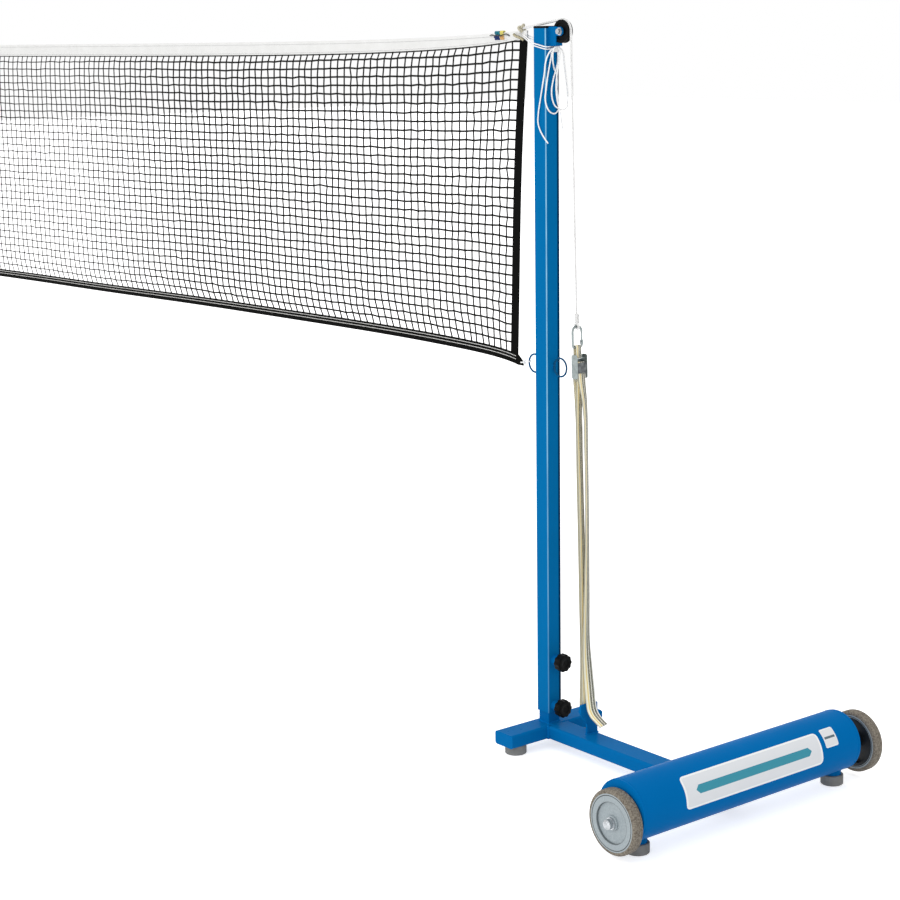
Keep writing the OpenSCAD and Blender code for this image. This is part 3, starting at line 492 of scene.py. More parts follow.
white_cord = braided("braided_polyester_cord", "#f6f6f4", "#ffffff", 2.4, 4, 0.00012)
white_rope = braided("braided_polyester_rope", "#f2f1ee", "#ffffff", 3.6, 4, 0.0002, tracer_mm=16)
cream_rope = braided("braided_polyester_rope_cream", "#bdb494", "#ded7c0", 3.6, 4, 0.0005)
two_tone = braided("twisted_cord_two_tone", "#0b0a08", "#c9bf9c", 13.0, 1, 0.0004)
black_twine = braided("twisted_nylon_twine", "#0c0c0c", "#191a18", 6.0, 2, 0.0002, 0.0)
white_tape = woven("woven_polyester_tape_white", "#dfdfdd", "#f3f3f2", 1.2, 0.0002)
black_tape = woven("woven_polyester_tape_black", "#050505", "#0f0f0e", 1.2, 0.0002, 0.0)
white_thread = braided("sewing_thread_white", "#f0efea", "#ffffff", 1.0, 2, 0.0001)
grey_thread = braided("sewing_thread_grey", "#6d6e70", "#98999b", 1.0, 2, 0.0001)

# %% [markdown]
# ## Bow on the post
# The net's upper corner is lashed to the post and finished with a bow. Its two free ends are the only cords
# that nothing holds. Each leaves the knot, makes a loop that hangs under its own weight, comes back over
# the knot and ends in a tail. They follow the same points as the frame's cords, which are a little thicker.

# %% Bow cords
cord_r, drawn_r = 1.75, 1.55
knot_at = np.array([26.6, 2.0, 1503.5])
bow_routes = {  # points from the post's face at the knot's height, and the section's first axis
    "bow_cord": ([
        [7.6, -9, -3.8], [7, -9, -14], [4, -10, -27], [2.3, -15, -54], [2.3, -20, -82], [2.3, -22, -99],
        [2.3, -18, -115], [2.3, -8, -127], [2.3, 4, -130], [2.3, 13, -124], [2.3, 16, -111], [2.3, 13, -95],
        [2.3, 10, -81], [2.3, 11, -64], [2.3, 6.5, -45], [2.5, 3, -39.5], [5, -1.5, -32], [8.5, -6, -24.5],
        [15, -12, -11], [17.2, -13, -3], [17.4, -9, 4], [17.4, -2, 5.5], [17.2, 4, 2], [16.8, 6, -6],
        [15, 5, -22], [12.5, 3, -42], [10.6, 1, -66], [10.4, 2, -93], [11, 6, -112], [10, 13, -128],
        [5, 21, -148], [2.5, 28, -168]], (1, 0, 0)),
    "tail_cord": ([
        [7.6, 8, -3.8], [7.4, 9, -13], [6.8, 9, -24], [6.4, 6, -36], [6.4, 1, -48], [6.4, -4, -63],
        [6.4, -8, -82], [6.4, -6, -101], [6.4, 1, -114], [6.4, 12, -120], [6.4, 24, -123], [6.4, 34, -118],
        [6.4, 37, -105], [6.4, 35, -74], [6.6, 30, -44], [8.5, 25, -23], [12, 20, -8], [13, 13, 1],
        [13.2, 3, 3.5], [13, -8, 2], [11.8, -16, -3], [8.8, -20.6, -12], [4.6, -22.4, -25], [0.6, -22, -45],
        [-6, -21.3, -70], [-13.5, -21.2, -100], [-20.5, -21.2, -132], [-21.5, -21.2, -148],
        [-14, -21.2, -165], [0, -21.3, -181], [10, -21.6, -190]], (1, 0.2, 0))}

for name, (route, first_axis) in bow_routes.items():
    path = smooth(np.array(route) + [face, 0, knot_at[2]], 5)
    section = np.broadcast_to(circle(drawn_r, 12), (len(path), 12, 2)).copy()
    section[-2:] *= np.array([0.93, 0.6])[:, None, None]  # the cut end is rounded off
    for side_name, side in sides.items():
        node = f"{name}_{side_name}"
        tube = placed(sweep(path, section, first_axis), side)
        made = piece(f"{node}_braid", [tube], white_cord, stands_for=[node])

# %% [markdown]
# ## Lashing, ties and knots
# Two turns of the same cord run from the net's corner round the post. Knots are drawn as a trefoil, the
# simplest closed knot, pressed flat: seen from a little way off it reads as a tight overhand knot.

# %% Knots and lashings
def knot(centre, size, r, turn=0.0):
    """Trefoil: (sin t + 2 sin 2t, cos t - 2 cos 2t, -sin 3t), each axis scaled by size, as a round tube.
    size's first number is the depth along X, and turn leans the knot in the YZ plane."""
    t = np.arange(60) * 2 * np.pi / 60
    a, b = np.sin(t) + 2 * np.sin(2 * t), np.cos(t) - 2 * np.cos(2 * t)
    y = a * math.cos(turn) - b * math.sin(turn)
    z = a * math.sin(turn) + b * math.cos(turn)
    path = np.stack([-np.sin(3 * t) * size[0], y * size[1], z * size[2]], 1) + centre
    return sweep(path, circle(r, 10), (1, 0.05, 0.02), loop=True)


def coil(start, end, radius, r, turns):
    """A helix of cord round the straight line from start to end."""
    start, end = np.asarray(start, float), np.asarray(end, float)
    t = np.linspace(0, 1, int(turns * 16) + 1)[:, None]
    axis = unit(end - start)
    side = unit(np.cross(axis, [0.0, 1.0, 0.0] if abs(axis[1]) < 0.9 else [1.0, 0.0, 0.0]))
    angle = 2 * np.pi * turns * t
    path = start + (end - start) * t + radius * (np.cos(angle) * side + np.sin(angle) * np.cross(axis, side))
    return sweep(path, circle(r, 8), axis)


lash_c, lash_bend, lash_x = 16.0, 5.05, 21.05
lash_slope, lash_pitch, turn_gap, lash_r = 0.2, 3.9, 2.35, 1.3
lash_z = 1511 - 0.3 - cord_r + lash_slope * lash_x - lash_pitch
lash_start = np.array([-66.0, -3.85])


def lash_route(z):
    """From the net's corner, tangent to the post's corner, round its far side, and back on the other side,
    falling by the slope towards +x."""
    v = np.array([-lash_c, -lash_c]) - lash_start
    reach = math.hypot(*v)
    a = math.atan2(v[1], v[0]) - math.asin(lash_bend / reach)
    near = arc((-lash_c, -lash_c), lash_bend, math.degrees(a) - 90, -90, 3)
    flat = np.vstack([near, arc((lash_c, -lash_c), lash_bend, -90, 0, 6),
                      arc((lash_c, lash_c), lash_bend, 0, 90, 6), near[::-1] * [1, -1]])
    body = np.column_stack([flat, z - lash_slope * flat[:, 0]])
    return np.vstack([[*lash_start, z + 20], body, [lash_start[0], -lash_start[1], z + 20]])


lashing = [sweep(lash_route(lash_z + lash_pitch / 2 + k * turn_gap), circle(lash_r, 10), (0, 0, 1))
           for k in (-1, 1)]
lashing += [knot(knot_at, (1.5, 3.6, 1.15), 1.7),
            coil(knot_at - [0, 3.2, 0], knot_at + [0, 3.2, 0], 2.4, 1.7, 2.2)]
pair("corner_lashing_{}", lashing, white_cord, stands_for=["corner_lashings"])

# %% [markdown]
# ## Lower ties
# At the net's lower corner a short cord goes through an eyelet in the hem and through the post's wire ring.

# %% Lower ties
tie_z, tie_r, tie_bend = 846.0, 1.5, 3.7
ring_wire_x, hem_hole_x = -60.0, -82.0


def lower_tie():
    """A flat loop: half a turn round the wire, half a turn in the hem's eyelet, and a knot on one side."""
    flat = np.vstack([arc((ring_wire_x, 0), tie_bend, -90, 90, 8),
                      arc((hem_hole_x, 0), tie_bend, 90, 270, 8)])
    loop = np.column_stack([flat, np.interp(flat[:, 0], [hem_hole_x, ring_wire_x], [tie_z - 5, tie_z])])
    middle = np.array([(ring_wire_x + hem_hole_x) / 2, -tie_bend, tie_z - 2.5])
    return [sweep(loop, circle(tie_r, 10), (0, 0, 1), loop=True), knot(middle, (1.3, 1.0, 1.5), 1.3)]


pair("lower_tie_{}", lower_tie(), white_cord, stands_for=["lower_ties"])

# %% [markdown]
# ## Tension rope
# A 5 mm braided rope leaves the net's upper corner, runs over the pulley at the post's head and comes down
# to the snap hook. It is knotted through the net's grommet, and bound with thin twine above the hook. A
# cream knot and a short end of two-coloured cord lie on the tape beside it.

# %% Tension rope
rope_r = 2.5
hook_s, hook_top, rope_eye, grommet_z = 790.0, 44.0, 5.5, 1542.2
rope_low = hook_s + hook_top + rope_eye
rope_start = np.array([-78.0, 1546.7])
line_start = math.sqrt(line_reach**2 - groove_r**2)


def rope_path():
    """Straight to the pulley, round its groove, and straight down the leaning line."""
    v = np.array([pulley_x, pulley_z]) - rope_start
    rise = math.degrees(math.atan2(v[1], v[0]) + math.asin(groove_r / math.hypot(*v)))
    over = arc((pulley_x, pulley_z), groove_r, 90 + rise, math.degrees(lean), 20)
    first = np.vstack([rope_start, over])
    down = on_line(0, 0, np.linspace(line_start - 120, rope_low + 5, 12))
    return np.vstack([np.column_stack([first[:, 0], np.zeros(len(first)), first[:, 1]]), down])


def rope_ends():
    """The eye in the grommet, and the eye round the hook with its binding."""
    corner = np.column_stack([np.full(20, rope_start[0]), circle(5.3, 20)]) + [0, 0, grommet_z]
    eye = on_line(circle(rope_eye, 20)[:, 0], 0, hook_s + hook_top + circle(rope_eye, 20)[::-1][:, 1])
    return [sweep(corner, circle(rope_r, 12), (1, 0, 0), loop=True),
            sweep(eye, circle(rope_r, 12), (0, 1, 0), loop=True),
            coil(on_line(0, 0, rope_low), on_line(0, 0, rope_low + 19), 4.1, 1.4, 7)]


cord_end = smooth([[-97, -4.6, 1535], [-89, -6.2, 1531.5], [-80, -6.6, 1529.5], [-72, -6.2, 1526.5],
                   [-65, -5, 1523]])
pair("cord_end_{}", [sweep(cord_end, circle(2.8, 10), (0, 0, 1))], two_tone)
rope_knot = knot(np.array([-74.5, -1.0, 1546.3]), (2.7, 3.0, 3.0), 2.8, 0.5)
pair("rope_knot_{}", [rope_knot], cream_rope)
rope = [sweep(rope_path(), circle(rope_r, 14), (0, 1, 0))] + rope_ends()
pair("tension_rope_{}_braid", rope, white_rope, stands_for=["tension_rope_{}"])

# %% [markdown]
# ## The net's outline
# The net hangs between two gently curved lines. The head tape's top falls away from each post along an
# exponential, and the hem's lower edge sags in the middle and dips at its very ends. Every net piece takes
# its place from the same functions, so they stay together.

# %% Net outline
tape_half, hem_half, hem_end, side_bow = 2992.0, 2954.0, 2971.0, 6.0
net_top, tape_h, tape_end_h, hem_low, hem_h, side_w = 1523.5, 32.5, 14.0, 815.0, 23.0, 24.0
gathered = 12.0  # what the tape loses slowly towards its end; the rest it loses in the last few centimetres


def tape_top(x):
    """Top edge of the head tape: net_top + 20 exp(-distance from the end / 330)."""
    return net_top + 20 * np.exp(-np.maximum(0, tape_half - np.abs(x)) / 330)


def tape_low(x):
    """Lower edge: the tape's height below the top, less where the tape is gathered towards its end."""
    inward = np.maximum(0, tape_half - np.abs(x))
    last = tape_h - tape_end_h - gathered
    return tape_top(x) - tape_h + gathered * np.exp(-inward / 445) + last * np.exp(-inward / 60)


def hem_bottom(x):
    """Lower edge of the hem: a quarter sine wave from the middle to each end, and two dips at the end, one
    short and one long."""
    share = np.minimum(1, np.abs(x) / hem_half)
    inward = np.maximum(0, hem_half - np.abs(x))
    rise = hem_low + 38 * np.sin(np.pi / 2 * share**1.2)
    return rise - 9.7 * np.exp(-inward / 55) - 9.5 * np.exp(-inward / 300)


side_top, side_low = tape_low(tape_half) - 0.3, hem_bottom(hem_half) + hem_h + 0.3


def side_edge(z):
    """Outer edge of the side tape: from the hem's end to the head tape's, bowed inwards by half a sine
    wave."""
    share = np.clip((z - side_low) / (side_top - side_low), 0, 1)
    return hem_half + (tape_half - hem_half) * share - side_bow * np.sin(np.pi * share)


def flutter(x, z):
    """How far the net stands off its plane: two slow waves, nothing at the posts."""
    calm = 1 - np.exp(-np.maximum(0, tape_half - np.abs(x)) / 350)
    low = (net_top - z) / 700
    return calm * (2.2 * np.sin(x / 330 + 0.6) + 1.6 * (0.4 + low) * np.sin(x / 147 + 2.1 * low + 1.0))


# %% [markdown]
# ## Netting
# Knotted twine, square meshes of about 20 mm. Rows and columns are long thin tubes with four sides, and
# each crossing has a small eight-sided knot: with thousands of crossings every face counts. The real twine
# is a little over 1 mm thick; it is drawn about 3.5 mm thick so that it shows, a little more near the posts
# and less in the middle. The hem is pulled outwards harder than the mesh, so the lowest cells lean towards
# the posts, and so does the top row.

# %% Netting
mesh_rows = 32
twine_r, mesh_knot_r = 1.75, 3.1
near_pitch, far_pitch, pitch_reach = 23.5, 31.0, 1500.0
top_pull, low_pull, jitter = 13, 27, (1.1, 0.8)
chance = np.random.default_rng(7)


def columns():
    """Distances of the columns from the side tape: the running total of 1 / pitch, read at whole numbers."""
    half = (tape_half + hem_half) / 2 - side_w
    u = np.linspace(0, half, 4001)
    pitch_here = near_pitch + (far_pitch - near_pitch) * (1 - np.exp(-u[1:] / pitch_reach))
    count = np.r_[0, np.cumsum(np.diff(u) / pitch_here)]
    whole = round(count[-1])
    return np.interp(np.arange(1, whole + 1), count * whole / count[-1], u)


def crossings():
    """The grid of knots, rows from the head tape down and columns from left to right. Columns near an end
    lean with the side tape, the top and lowest rows are pulled outwards, and a little chance moves each
    knot."""
    u = columns()
    share = np.linspace(0, 1, mesh_rows + 1)[:, None]
    middle = (tape_half + hem_half) / 2 - side_w
    lean_in = ((0.5 - share) * (tape_half - hem_half) - side_bow * np.sin(np.pi * share)) * np.exp(-u / 300)
    right_half = middle - u + lean_in
    x = np.hstack([-right_half, right_half[:, -2::-1]])
    from_end = np.maximum(0, middle - np.abs(x))
    low_reach = 1.8 + 2.6 * np.exp(-from_end / 350)
    row = share * mesh_rows
    pulled = top_pull * np.exp(-row / 1.1) + low_pull * np.exp((row - mesh_rows) / low_reach)
    x = x + pulled * np.tanh(x / 500) * (1 - np.exp(-from_end / 110))
    x = x + 1.5 * np.sin(share * 9 + x / 41) + chance.normal(0, jitter[0], x.shape)
    top, low = tape_low(x) + 4, hem_bottom(x) + hem_h - 3
    z = top + (low - top) * share
    z[0] = tape_low(x[0]) - 1
    z[1:-1] += 1.2 * np.sin(x[1:-1] / 170 + 5 * share[1:-1]) + chance.normal(0, jitter[1], z[1:-1].shape)
    return np.stack([x, flutter(x, z), z], -1)


def strands(lines, up, r):
    """Many four-sided tubes at once, closed at both ends: lines is (strand, point, 3). The radius grows from
    0.8 r in the net's middle to 1.2 r near the posts."""
    step = np.gradient(lines, axis=1)
    tangent = unit(step)
    first = np.broadcast_to(np.asarray(up, float), lines.shape)
    first = unit(first - (first * tangent).sum(-1, keepdims=True) * tangent)
    second = np.cross(tangent, first)
    c = circle(1.0, 4)
    thick = r * np.interp(np.abs(lines[..., 0]), [1000, 1700], [0.8, 1.2])[..., None, None]
    points = lines[:, :, None] + thick * (c[:, :1] * first[:, :, None] + c[:, 1:] * second[:, :, None])
    run = np.cumsum(np.linalg.norm(step, axis=-1), 1)[0]
    flat, faces = on_grid(points[0], u=run)
    f, uv = faces[0]
    n = len(lines)
    caps = np.array([[3, 2, 1, 0], np.arange(4) + len(flat) - 4])
    f, uv = np.vstack([f, caps]), np.concatenate([uv, np.zeros((2, 4, 2))])
    moved = (f[None] + np.arange(n)[:, None, None] * len(flat)).reshape(-1, 4)
    return points.reshape(-1, 3), [(moved, np.tile(uv, (n, 1, 1)))]


def scatter(template, places):
    """One small shape at many places: template is (points, faces), places is (n, 3) or (n, points, 3)."""
    points, faces = template
    n, m = len(places), len(points)
    moved = (points[None] + places[:, None] if places.ndim == 2 else places).reshape(-1, 3)
    count = np.arange(n)[:, None, None] * m
    return moved, [((f[None] + count).reshape(-1, f.shape[1]), np.zeros((n * len(f), f.shape[1], 2)))
                   for f in faces]


octahedron = (np.array([[1, 0, 0], [0, 0.9, 0], [-1, 0, 0], [0, -0.9, 0], [0, 0, 1], [0, 0, -1.0]]),
              [np.array([[0, 1, 4], [1, 2, 4], [2, 3, 4], [3, 0, 4],
                         [1, 0, 5], [2, 1, 5], [3, 2, 5], [0, 3, 5]])])

grid = crossings()
inner = grid[:-1]
left_end, right_end = inner[:, :1].copy(), inner[:, -1:].copy()
left_end[:, 0, 0], right_end[:, 0, 0] = [
    s * (side_edge(inner[:, k, 2]) - side_w + 3) for s, k in ((-1, 0), (1, -1))]
rows = np.hstack([left_end, inner, right_end])
knots = scatter((octahedron[0] * mesh_knot_r, octahedron[1]), inner.reshape(-1, 3))
net_shapes = [strands(rows, (0, 1, 0), twine_r), strands(grid.transpose(1, 0, 2), (0, 1, 0), twine_r), knots]
netting = piece("netting", [(p / 1000, f) for p, f in net_shapes], black_twine,
                stands_for=["net_mesh"], sharp=180)
print("netting", inner.shape[0], "rows,", inner.shape[1], "columns")

# %% [markdown]
# ## Head tape, side tapes and hem
# Each is a woven tape folded over the net's edge and sewn through. The fold is a closed U: out along one
# face, round the edge, back along the other, and inside again, one fabric thickness in. Carried along the
# net it gives a real folded edge that is open towards the mesh.

# %% Folded tapes
def tape_section(width, half_thick, edge_thick, fabric=0.55):
    """Section of a folded tape, fold at 0 and open edge at -width: the outer line there and back, then the
    inner line backwards, one fabric in. Thickness grows with the cube of the way from edge_thick at the open
    edge to half_thick near the fold, where the cord runs."""
    share = np.linspace(0, 1, 7)
    a = np.radians(np.linspace(70, -70, 7))
    tip = np.stack([-half_thick + half_thick * np.cos(a), half_thick * np.sin(a)], 1)
    up_side = np.stack([np.linspace(-width, -2.2 * half_thick, 7),
                        edge_thick + (half_thick - edge_thick) * share**3], 1)
    inside, bend = up_side + [0, -fabric], [[-half_thick - 0.2, half_thick - fabric]]
    inner_line = np.vstack([inside, bend, tip[2:5] * [1, 0.5] - [fabric, 0], np.array(bend) * [1, -1],
                            inside[::-1] * [1, -1]])
    return np.vstack([up_side, tip, up_side[::-1] * [1, -1], inner_line[::-1]])


def along(half, n):
    """Places along the net, closer together at the ends."""
    return half * np.sin(np.linspace(-np.pi / 2, np.pi / 2, n))


def cloth(x, y, z):
    """A tape from its sections: x, y and z are stretched to one grid, and U is the length run in metres."""
    points = np.stack(np.broadcast_arrays(x, y, z), -1)
    steps = np.linalg.norm(np.diff(points[:, 0], axis=0), axis=1)
    return close(points / 1000, np.r_[0, np.cumsum(steps)] / 1000)


bead_h = 4.0  # the fold's round edge, which keeps its height all along


def head_tape():
    """The fold is on top. Its width follows the tape's height, and both follow x."""
    x = along(tape_half, 260)
    height = tape_top(x) - tape_low(x)
    section = tape_section(tape_h, 1.8, 1.25)
    share = np.where(section[:, 0] < -bead_h, (section[:, 0] + bead_h) / (tape_h - bead_h), 0)
    near = np.maximum(section[:, 0], -bead_h)
    z = tape_top(x)[:, None] + near[None] + share[None] * (height[:, None] - bead_h)
    return cloth(x[:, None], -section[:, 1][None] + flutter(x[:, None], z), z)


def bottom_hem():
    """The fold is below and the open edge above. Past the side tapes it narrows to a flap."""
    x = np.r_[-hem_end, -(hem_half + hem_end) / 2, along(hem_half, 260), (hem_half + hem_end) / 2, hem_end]
    section = tape_section(hem_h, 1.5, 1.1)
    narrow = 1 - 0.6 * np.maximum(0, np.abs(x) - hem_half) / (hem_end - hem_half)
    z = hem_bottom(x)[:, None] - section[:, 0][None] * narrow[:, None]
    return cloth(x[:, None], section[:, 1][None] + flutter(x[:, None], z), z)


def side_tape(side):
    """The fold is outside, along the bowed edge."""
    t = np.linspace(0, 1, 60)
    z = (side_low - 4) + (side_top - side_low + 10) * t
    section = tape_section(side_w, 1.2, 1.0, 0.5)
    x = side_edge(z)[:, None] + section[:, 0][None]
    y = section[:, 1][None] + 0.8 * np.sin(7 * t)[:, None]
    return cloth(x * side, y * side, z[:, None])


head = piece("head_tape_cloth", [head_tape()], white_tape, stands_for=["head_tape"])
hem = piece("bottom_hem_cloth", [bottom_hem()], black_tape, stands_for=["bottom_hem"])
side_pieces = [piece(f"side_tape_{n}", [side_tape(s)], black_tape, stands_for=["side_tapes"])
               for n, s in sides.items()]

# %% [markdown]
# ## Stitching
# Lockstitch seams hold the tapes: each stitch is a short thread that dips into the cloth at both ends. One
# stitch has ten points, and thousands of them are placed at once along the seam lines on both faces.

# %% Stitching
def stitch_row(x, z, off, face_side, length, thick):
    """Stitches centred on the points (x, z) and laid along the line through them, off the net's plane by
    `off` on one face. Each is a four-sided tube of two rings between two tips sunk in the cloth."""
    along_x, along_z = np.gradient(x), np.gradient(z)
    run = np.hypot(along_x, along_z)
    tx, tz = along_x / run, along_z / run
    s = np.array([-0.5, -0.28, -0.28, -0.28, -0.28, 0.28, 0.28, 0.28, 0.28, 0.5]) * length
    w = np.array([0, 1, 0, -1, 0, 1, 0, -1, 0, 0]) * thick
    d = np.array([-0.5, 0, 1, 0, -1, 0, 1, 0, -1, -0.5]) * thick
    px = x[:, None] + s * tx[:, None] - w * tz[:, None]
    pz = z[:, None] + s * tz[:, None] + w * tx[:, None]
    py = face_side * (off[:, None] + d) + flutter(x, z)[:, None]
    places = np.stack([px, py, pz], -1) / 1000
    return scatter((np.zeros((10, 3)), [f[:, ::-face_side] for f in stitch_faces]), places)


stitch_faces = (np.array([[0, 2, 1], [0, 3, 2], [0, 4, 3], [0, 1, 4],
                          [9, 5, 6], [9, 6, 7], [9, 7, 8], [9, 8, 5]]),
                np.array([[1, 2, 6, 5], [2, 3, 7, 6], [3, 4, 8, 7], [4, 1, 5, 8]]))
stitch_pitch = 4.4


def seam(name, half, height, off, thread, length=3.0, thick=0.38):
    """Rows of stitches along the net, on both faces: height(x) is the seam's height."""
    x = np.arange(-half, half, stitch_pitch)
    shapes = [stitch_row(x, row_height(x), np.full(len(x), row_off), face_side, length, thick)
              for row_height, row_off in zip(height, off) for face_side in (-1, 1)]
    return piece(name, shapes, thread, sharp=180)


seam("head_tape_stitching", tape_half - 60, [lambda x: tape_low(x) + 3.5, lambda x: tape_top(x) - 7.0],
     [1.3, 1.75], grey_thread)
seam("hem_stitching", hem_half - 4, [lambda x: hem_bottom(x) + 11.0, lambda x: hem_bottom(x) + 17.8],
     [1.2, 1.15], white_thread, 4.2, 0.85)

# %% [markdown]
# ## Webbing strap
# Woven webbing runs down from the buckle's lower pin, round the lug's rod and up again, over the cam, and
# hangs down beside itself. Across its width it has woven-in bands: cream, a dotted black line, white, and a
# blue-black line. The bands follow the V of the UV map, so they bend with the strap, and its ribs follow U.

# %% Webbing
strap_w, strap_t = 22.0, 1.6
buckle_s, low_pin, cam = 724.0, (1.0, 6.0), (5.0, 29.0)
turn_r, eye_mid, strand_x, taut_x, pass_x = 5.6, 3.6, 3.7, 2.0, 6.6


def webbing_finish(name, bands):
    """Woven bands across the width from constant-colour stops, dotted where a dark line alternates with the
    ground, and ribs along the length. Each repeat is 1000 over its pitch in mm."""
    made, tree, shader, _ = new_material(name, {
        "Roughness": 0.78, "Sheen Weight": 0.2, "Specular IOR Level": 0.1})
    run, across = on_uv(tree)
    ground = add(tree, "ValToRGB", {0: across}, stops=bands)
    ground.socket.node.color_ramp.interpolation = "CONSTANT"
    on_lines = (abs(across - 0.55) < 0.10) | (abs(across - 0.80) < 0.10)
    dotted = on_lines * (run.wave(1000 / 4.5) > 0.72)
    colour = add(tree, "Mix", {0: dotted, 6: ground, 7: "#cdc9b0"}, 2, data_type="RGBA")
    ribs = run.wave(1000 / 1.6)
    colour = add(tree, "Mix", {0: ribs * -0.10 + 0.10, 6: colour, 7: "#8d8468"}, 2, data_type="RGBA")
    return skin(made, shader, colour, ribs + across.wave(22) * 0.6, 0.0001, 0.7)


webbing = webbing_finish("woven_polyester_webbing", [
    (0.0, "#a8a594"), (0.05, "#fffbe2"), (0.24, "#f6dc92"), (0.36, "#fffbe4"), (0.46, "#050504"),
    (0.64, "#fffdf2"), (0.71, "#0e2028"), (0.88, "#fdfcf6")])


def band(width, thick):
    """Section of webbing: a flat strip with rounded edges, and the share of the width at each of its
    points."""
    w, t = width / 2, thick / 2
    a = np.radians([-60, -20, 20, 60])
    right_edge = np.stack([w - t * 0.7 + t * 0.7 * np.cos(a), t * np.sin(a) / math.sin(math.radians(75))], 1)
    low_side = np.stack([np.linspace(-w + t, w - t, 9), np.full(9, -t)], 1)
    section = np.vstack([low_side, right_edge, low_side[::-1] * [1, -1], right_edge[::-1] * [-1, 1]])
    share = section[:, 0] / width + 0.5
    return section, np.r_[share, share[0]]


def strap_path():
    """Eye round the low pin, down behind the lug's rod, half round it, up in front, over the cam, and the
    loose tail. Columns: across, along, sideways shift along Y, twist in degrees."""
    eye = np.array([low_pin[0], buckle_s + low_pin[1]])
    turn = np.array([cam[0], buckle_s + cam[1]])
    start = [[eye[0] + eye_mid, eye[1] - 12, 0, 0], [eye[0] + eye_mid, eye[1] - 6, 0, 0]]
    down = smooth([[-taut_x - 0.5, eye[1] - 12, 0, 0], [-taut_x, eye[1] - 40, 1, -4], [-taut_x, 500, 2, -8],
                   [-taut_x, 260, 2, -8], [-taut_x, 60, 0.5, -4], [-strand_x + 0.3, 20, 0, 0],
                   [-strand_x, 8, 0, 0]])
    rise = smooth([[strand_x, 8, 0, 0], [strand_x - 0.3, 20, 0, 0], [taut_x, 60, 0.5, -4],
                   [taut_x, 260, 1, -12], [taut_x, 500, 0, -16], [taut_x, eye[1] - 60, 0, -12],
                   [pass_x, eye[1] - 14, 0, 0], [pass_x, eye[1] + 1, 0, 0], [pass_x - 1.4, eye[1] + 6, 0, 0],
                   [2.2, eye[1] + 10.5, 0, 0], [-0.2, eye[1] + 15, 0, 0]])
    tail = smooth([[turn[0] + turn_r, turn[1] - 6, 0, 0], [turn[0] + turn_r, buckle_s - 6, 2, -6],
                   [turn[0] + turn_r, buckle_s - 50, 8, -20], [10.5, 560, 10, -28], [9.5, 400, 9, -26],
                   [8.6, 250, 5, -14], [8.2, 146, 2, 0], [14.6, 82, 0, 26], [18, 50, 0, 38],
                   [20.6, 24, 0, 38], [24.5, 5, 0, 36], [32, -5, 0, 34], [45.5, -13.5, 0, 32],
                   [60, -21, 0, 30]], 8)
    arcs = [np.column_stack([a, np.zeros((len(a), 2))]) for a in (
        arc(eye, eye_mid, 0, 180, 14), arc((0, 0), strand_x, 180, 360, 20), arc(turn, turn_r, 180, 0, 24))]
    return np.vstack([start, arcs[0], down, arcs[1], rise, arcs[2], tail])


def strap():
    """The webbing along its path. Its width lies along Y, turned about the leaning line by the twist."""
    across, along_line, sideways, twist = strap_path().T
    section, share = band(strap_w, strap_t)
    wide = np.stack([np.sin(np.radians(twist)), np.cos(np.radians(twist)), np.zeros(len(twist))], 1)
    return sweep(on_line(across, sideways, along_line), section, wide, v=share)


pair("strap_{}_webbing", [strap()], webbing, stands_for=["strap_webbing_{}"])

# %% [markdown]
# ## Hook loop
# A short loop of the same webbing, narrower, joins the buckle's upper pin to the snap hook.

# %% Hook loop
def hook_loop():
    """A flat ring of webbing: two half turns and two straights."""
    low, high = buckle_s + 46, hook_s
    flat = np.vstack([arc((0, high), eye_mid, 0, 180, 10), arc((0, low), eye_mid, 180, 360, 10)])
    section, share = band(15.8, strap_t)
    return sweep(on_line(flat[:, 0], 0, flat[:, 1]), section, (0, 1, 0), loop=True, v=share)


pair("hook_loop_{}", [hook_loop()], webbing, stands_for=["strap_eyes"])

# %% [markdown]
# ## Weld beads
# The frame is welded and then painted, so the seams show as low rippled beads in the same blue: round the
# stub, where beam and drum meet, on the bosses, the lug, the weld nuts and the rings.

# %% Weld beads
beam_top, drum_x, drum_z, drum_r, drum_ends = 51.5, 570.0, 93.0, 62.5, (-316.8, 287.8)
boss_r, boss_y, ring_z, bracket_foot, bracket_top = 18.7, 279.0, 844.0, 1512.0, 1549.0
knob_heights = {"lower": 90.0, "upper": 194.0}


def bead(path, r, up=(0, 0, 1), loop=False):
    """A round bead whose thickness swells every 3.2 mm, as the welder's steps leave it."""
    path = resample(path, 1.0, loop)
    swell = 1 + 0.14 * np.sin(np.arange(len(path)) * 2 * np.pi / 3.2)
    return sweep(path, circle(r, 8)[None] * swell[:, None, None], up, loop=loop)


def resample(path, step, loop=False):
    """Points at even distances along a polyline."""
    path = np.asarray(path, float)
    if loop:
        path = np.vstack([path, path[:1]])
    run = np.r_[0, np.cumsum(np.linalg.norm(np.diff(path, axis=0), axis=1))]
    at = np.linspace(0, run[-1], max(4, int(run[-1] / step)) + 1)
    if loop:
        at = at[:-1]
    return np.stack([np.interp(at, run, path[:, k]) for k in range(3)], 1)


def rounded_loop(cx, cy, half_x, half_y, r, z):
    """A rectangle with round corners, level at height z."""
    corners = [(1, 1, 0), (-1, 1, 90), (-1, -1, 180), (1, -1, 270)]
    flat = np.vstack([arc((cx + sx * (half_x - r), cy + sy * (half_y - r)), r, a, a + 90, 5)
                      for sx, sy, a in corners])
    return np.column_stack([flat, np.full(len(flat), z)])


def ring_on_x(x, y, z, r, n=24):
    """A circle round the X direction."""
    c = circle(r, n)
    return np.column_stack([np.full(n, x), y + c[:, 0], z + c[:, 1]])


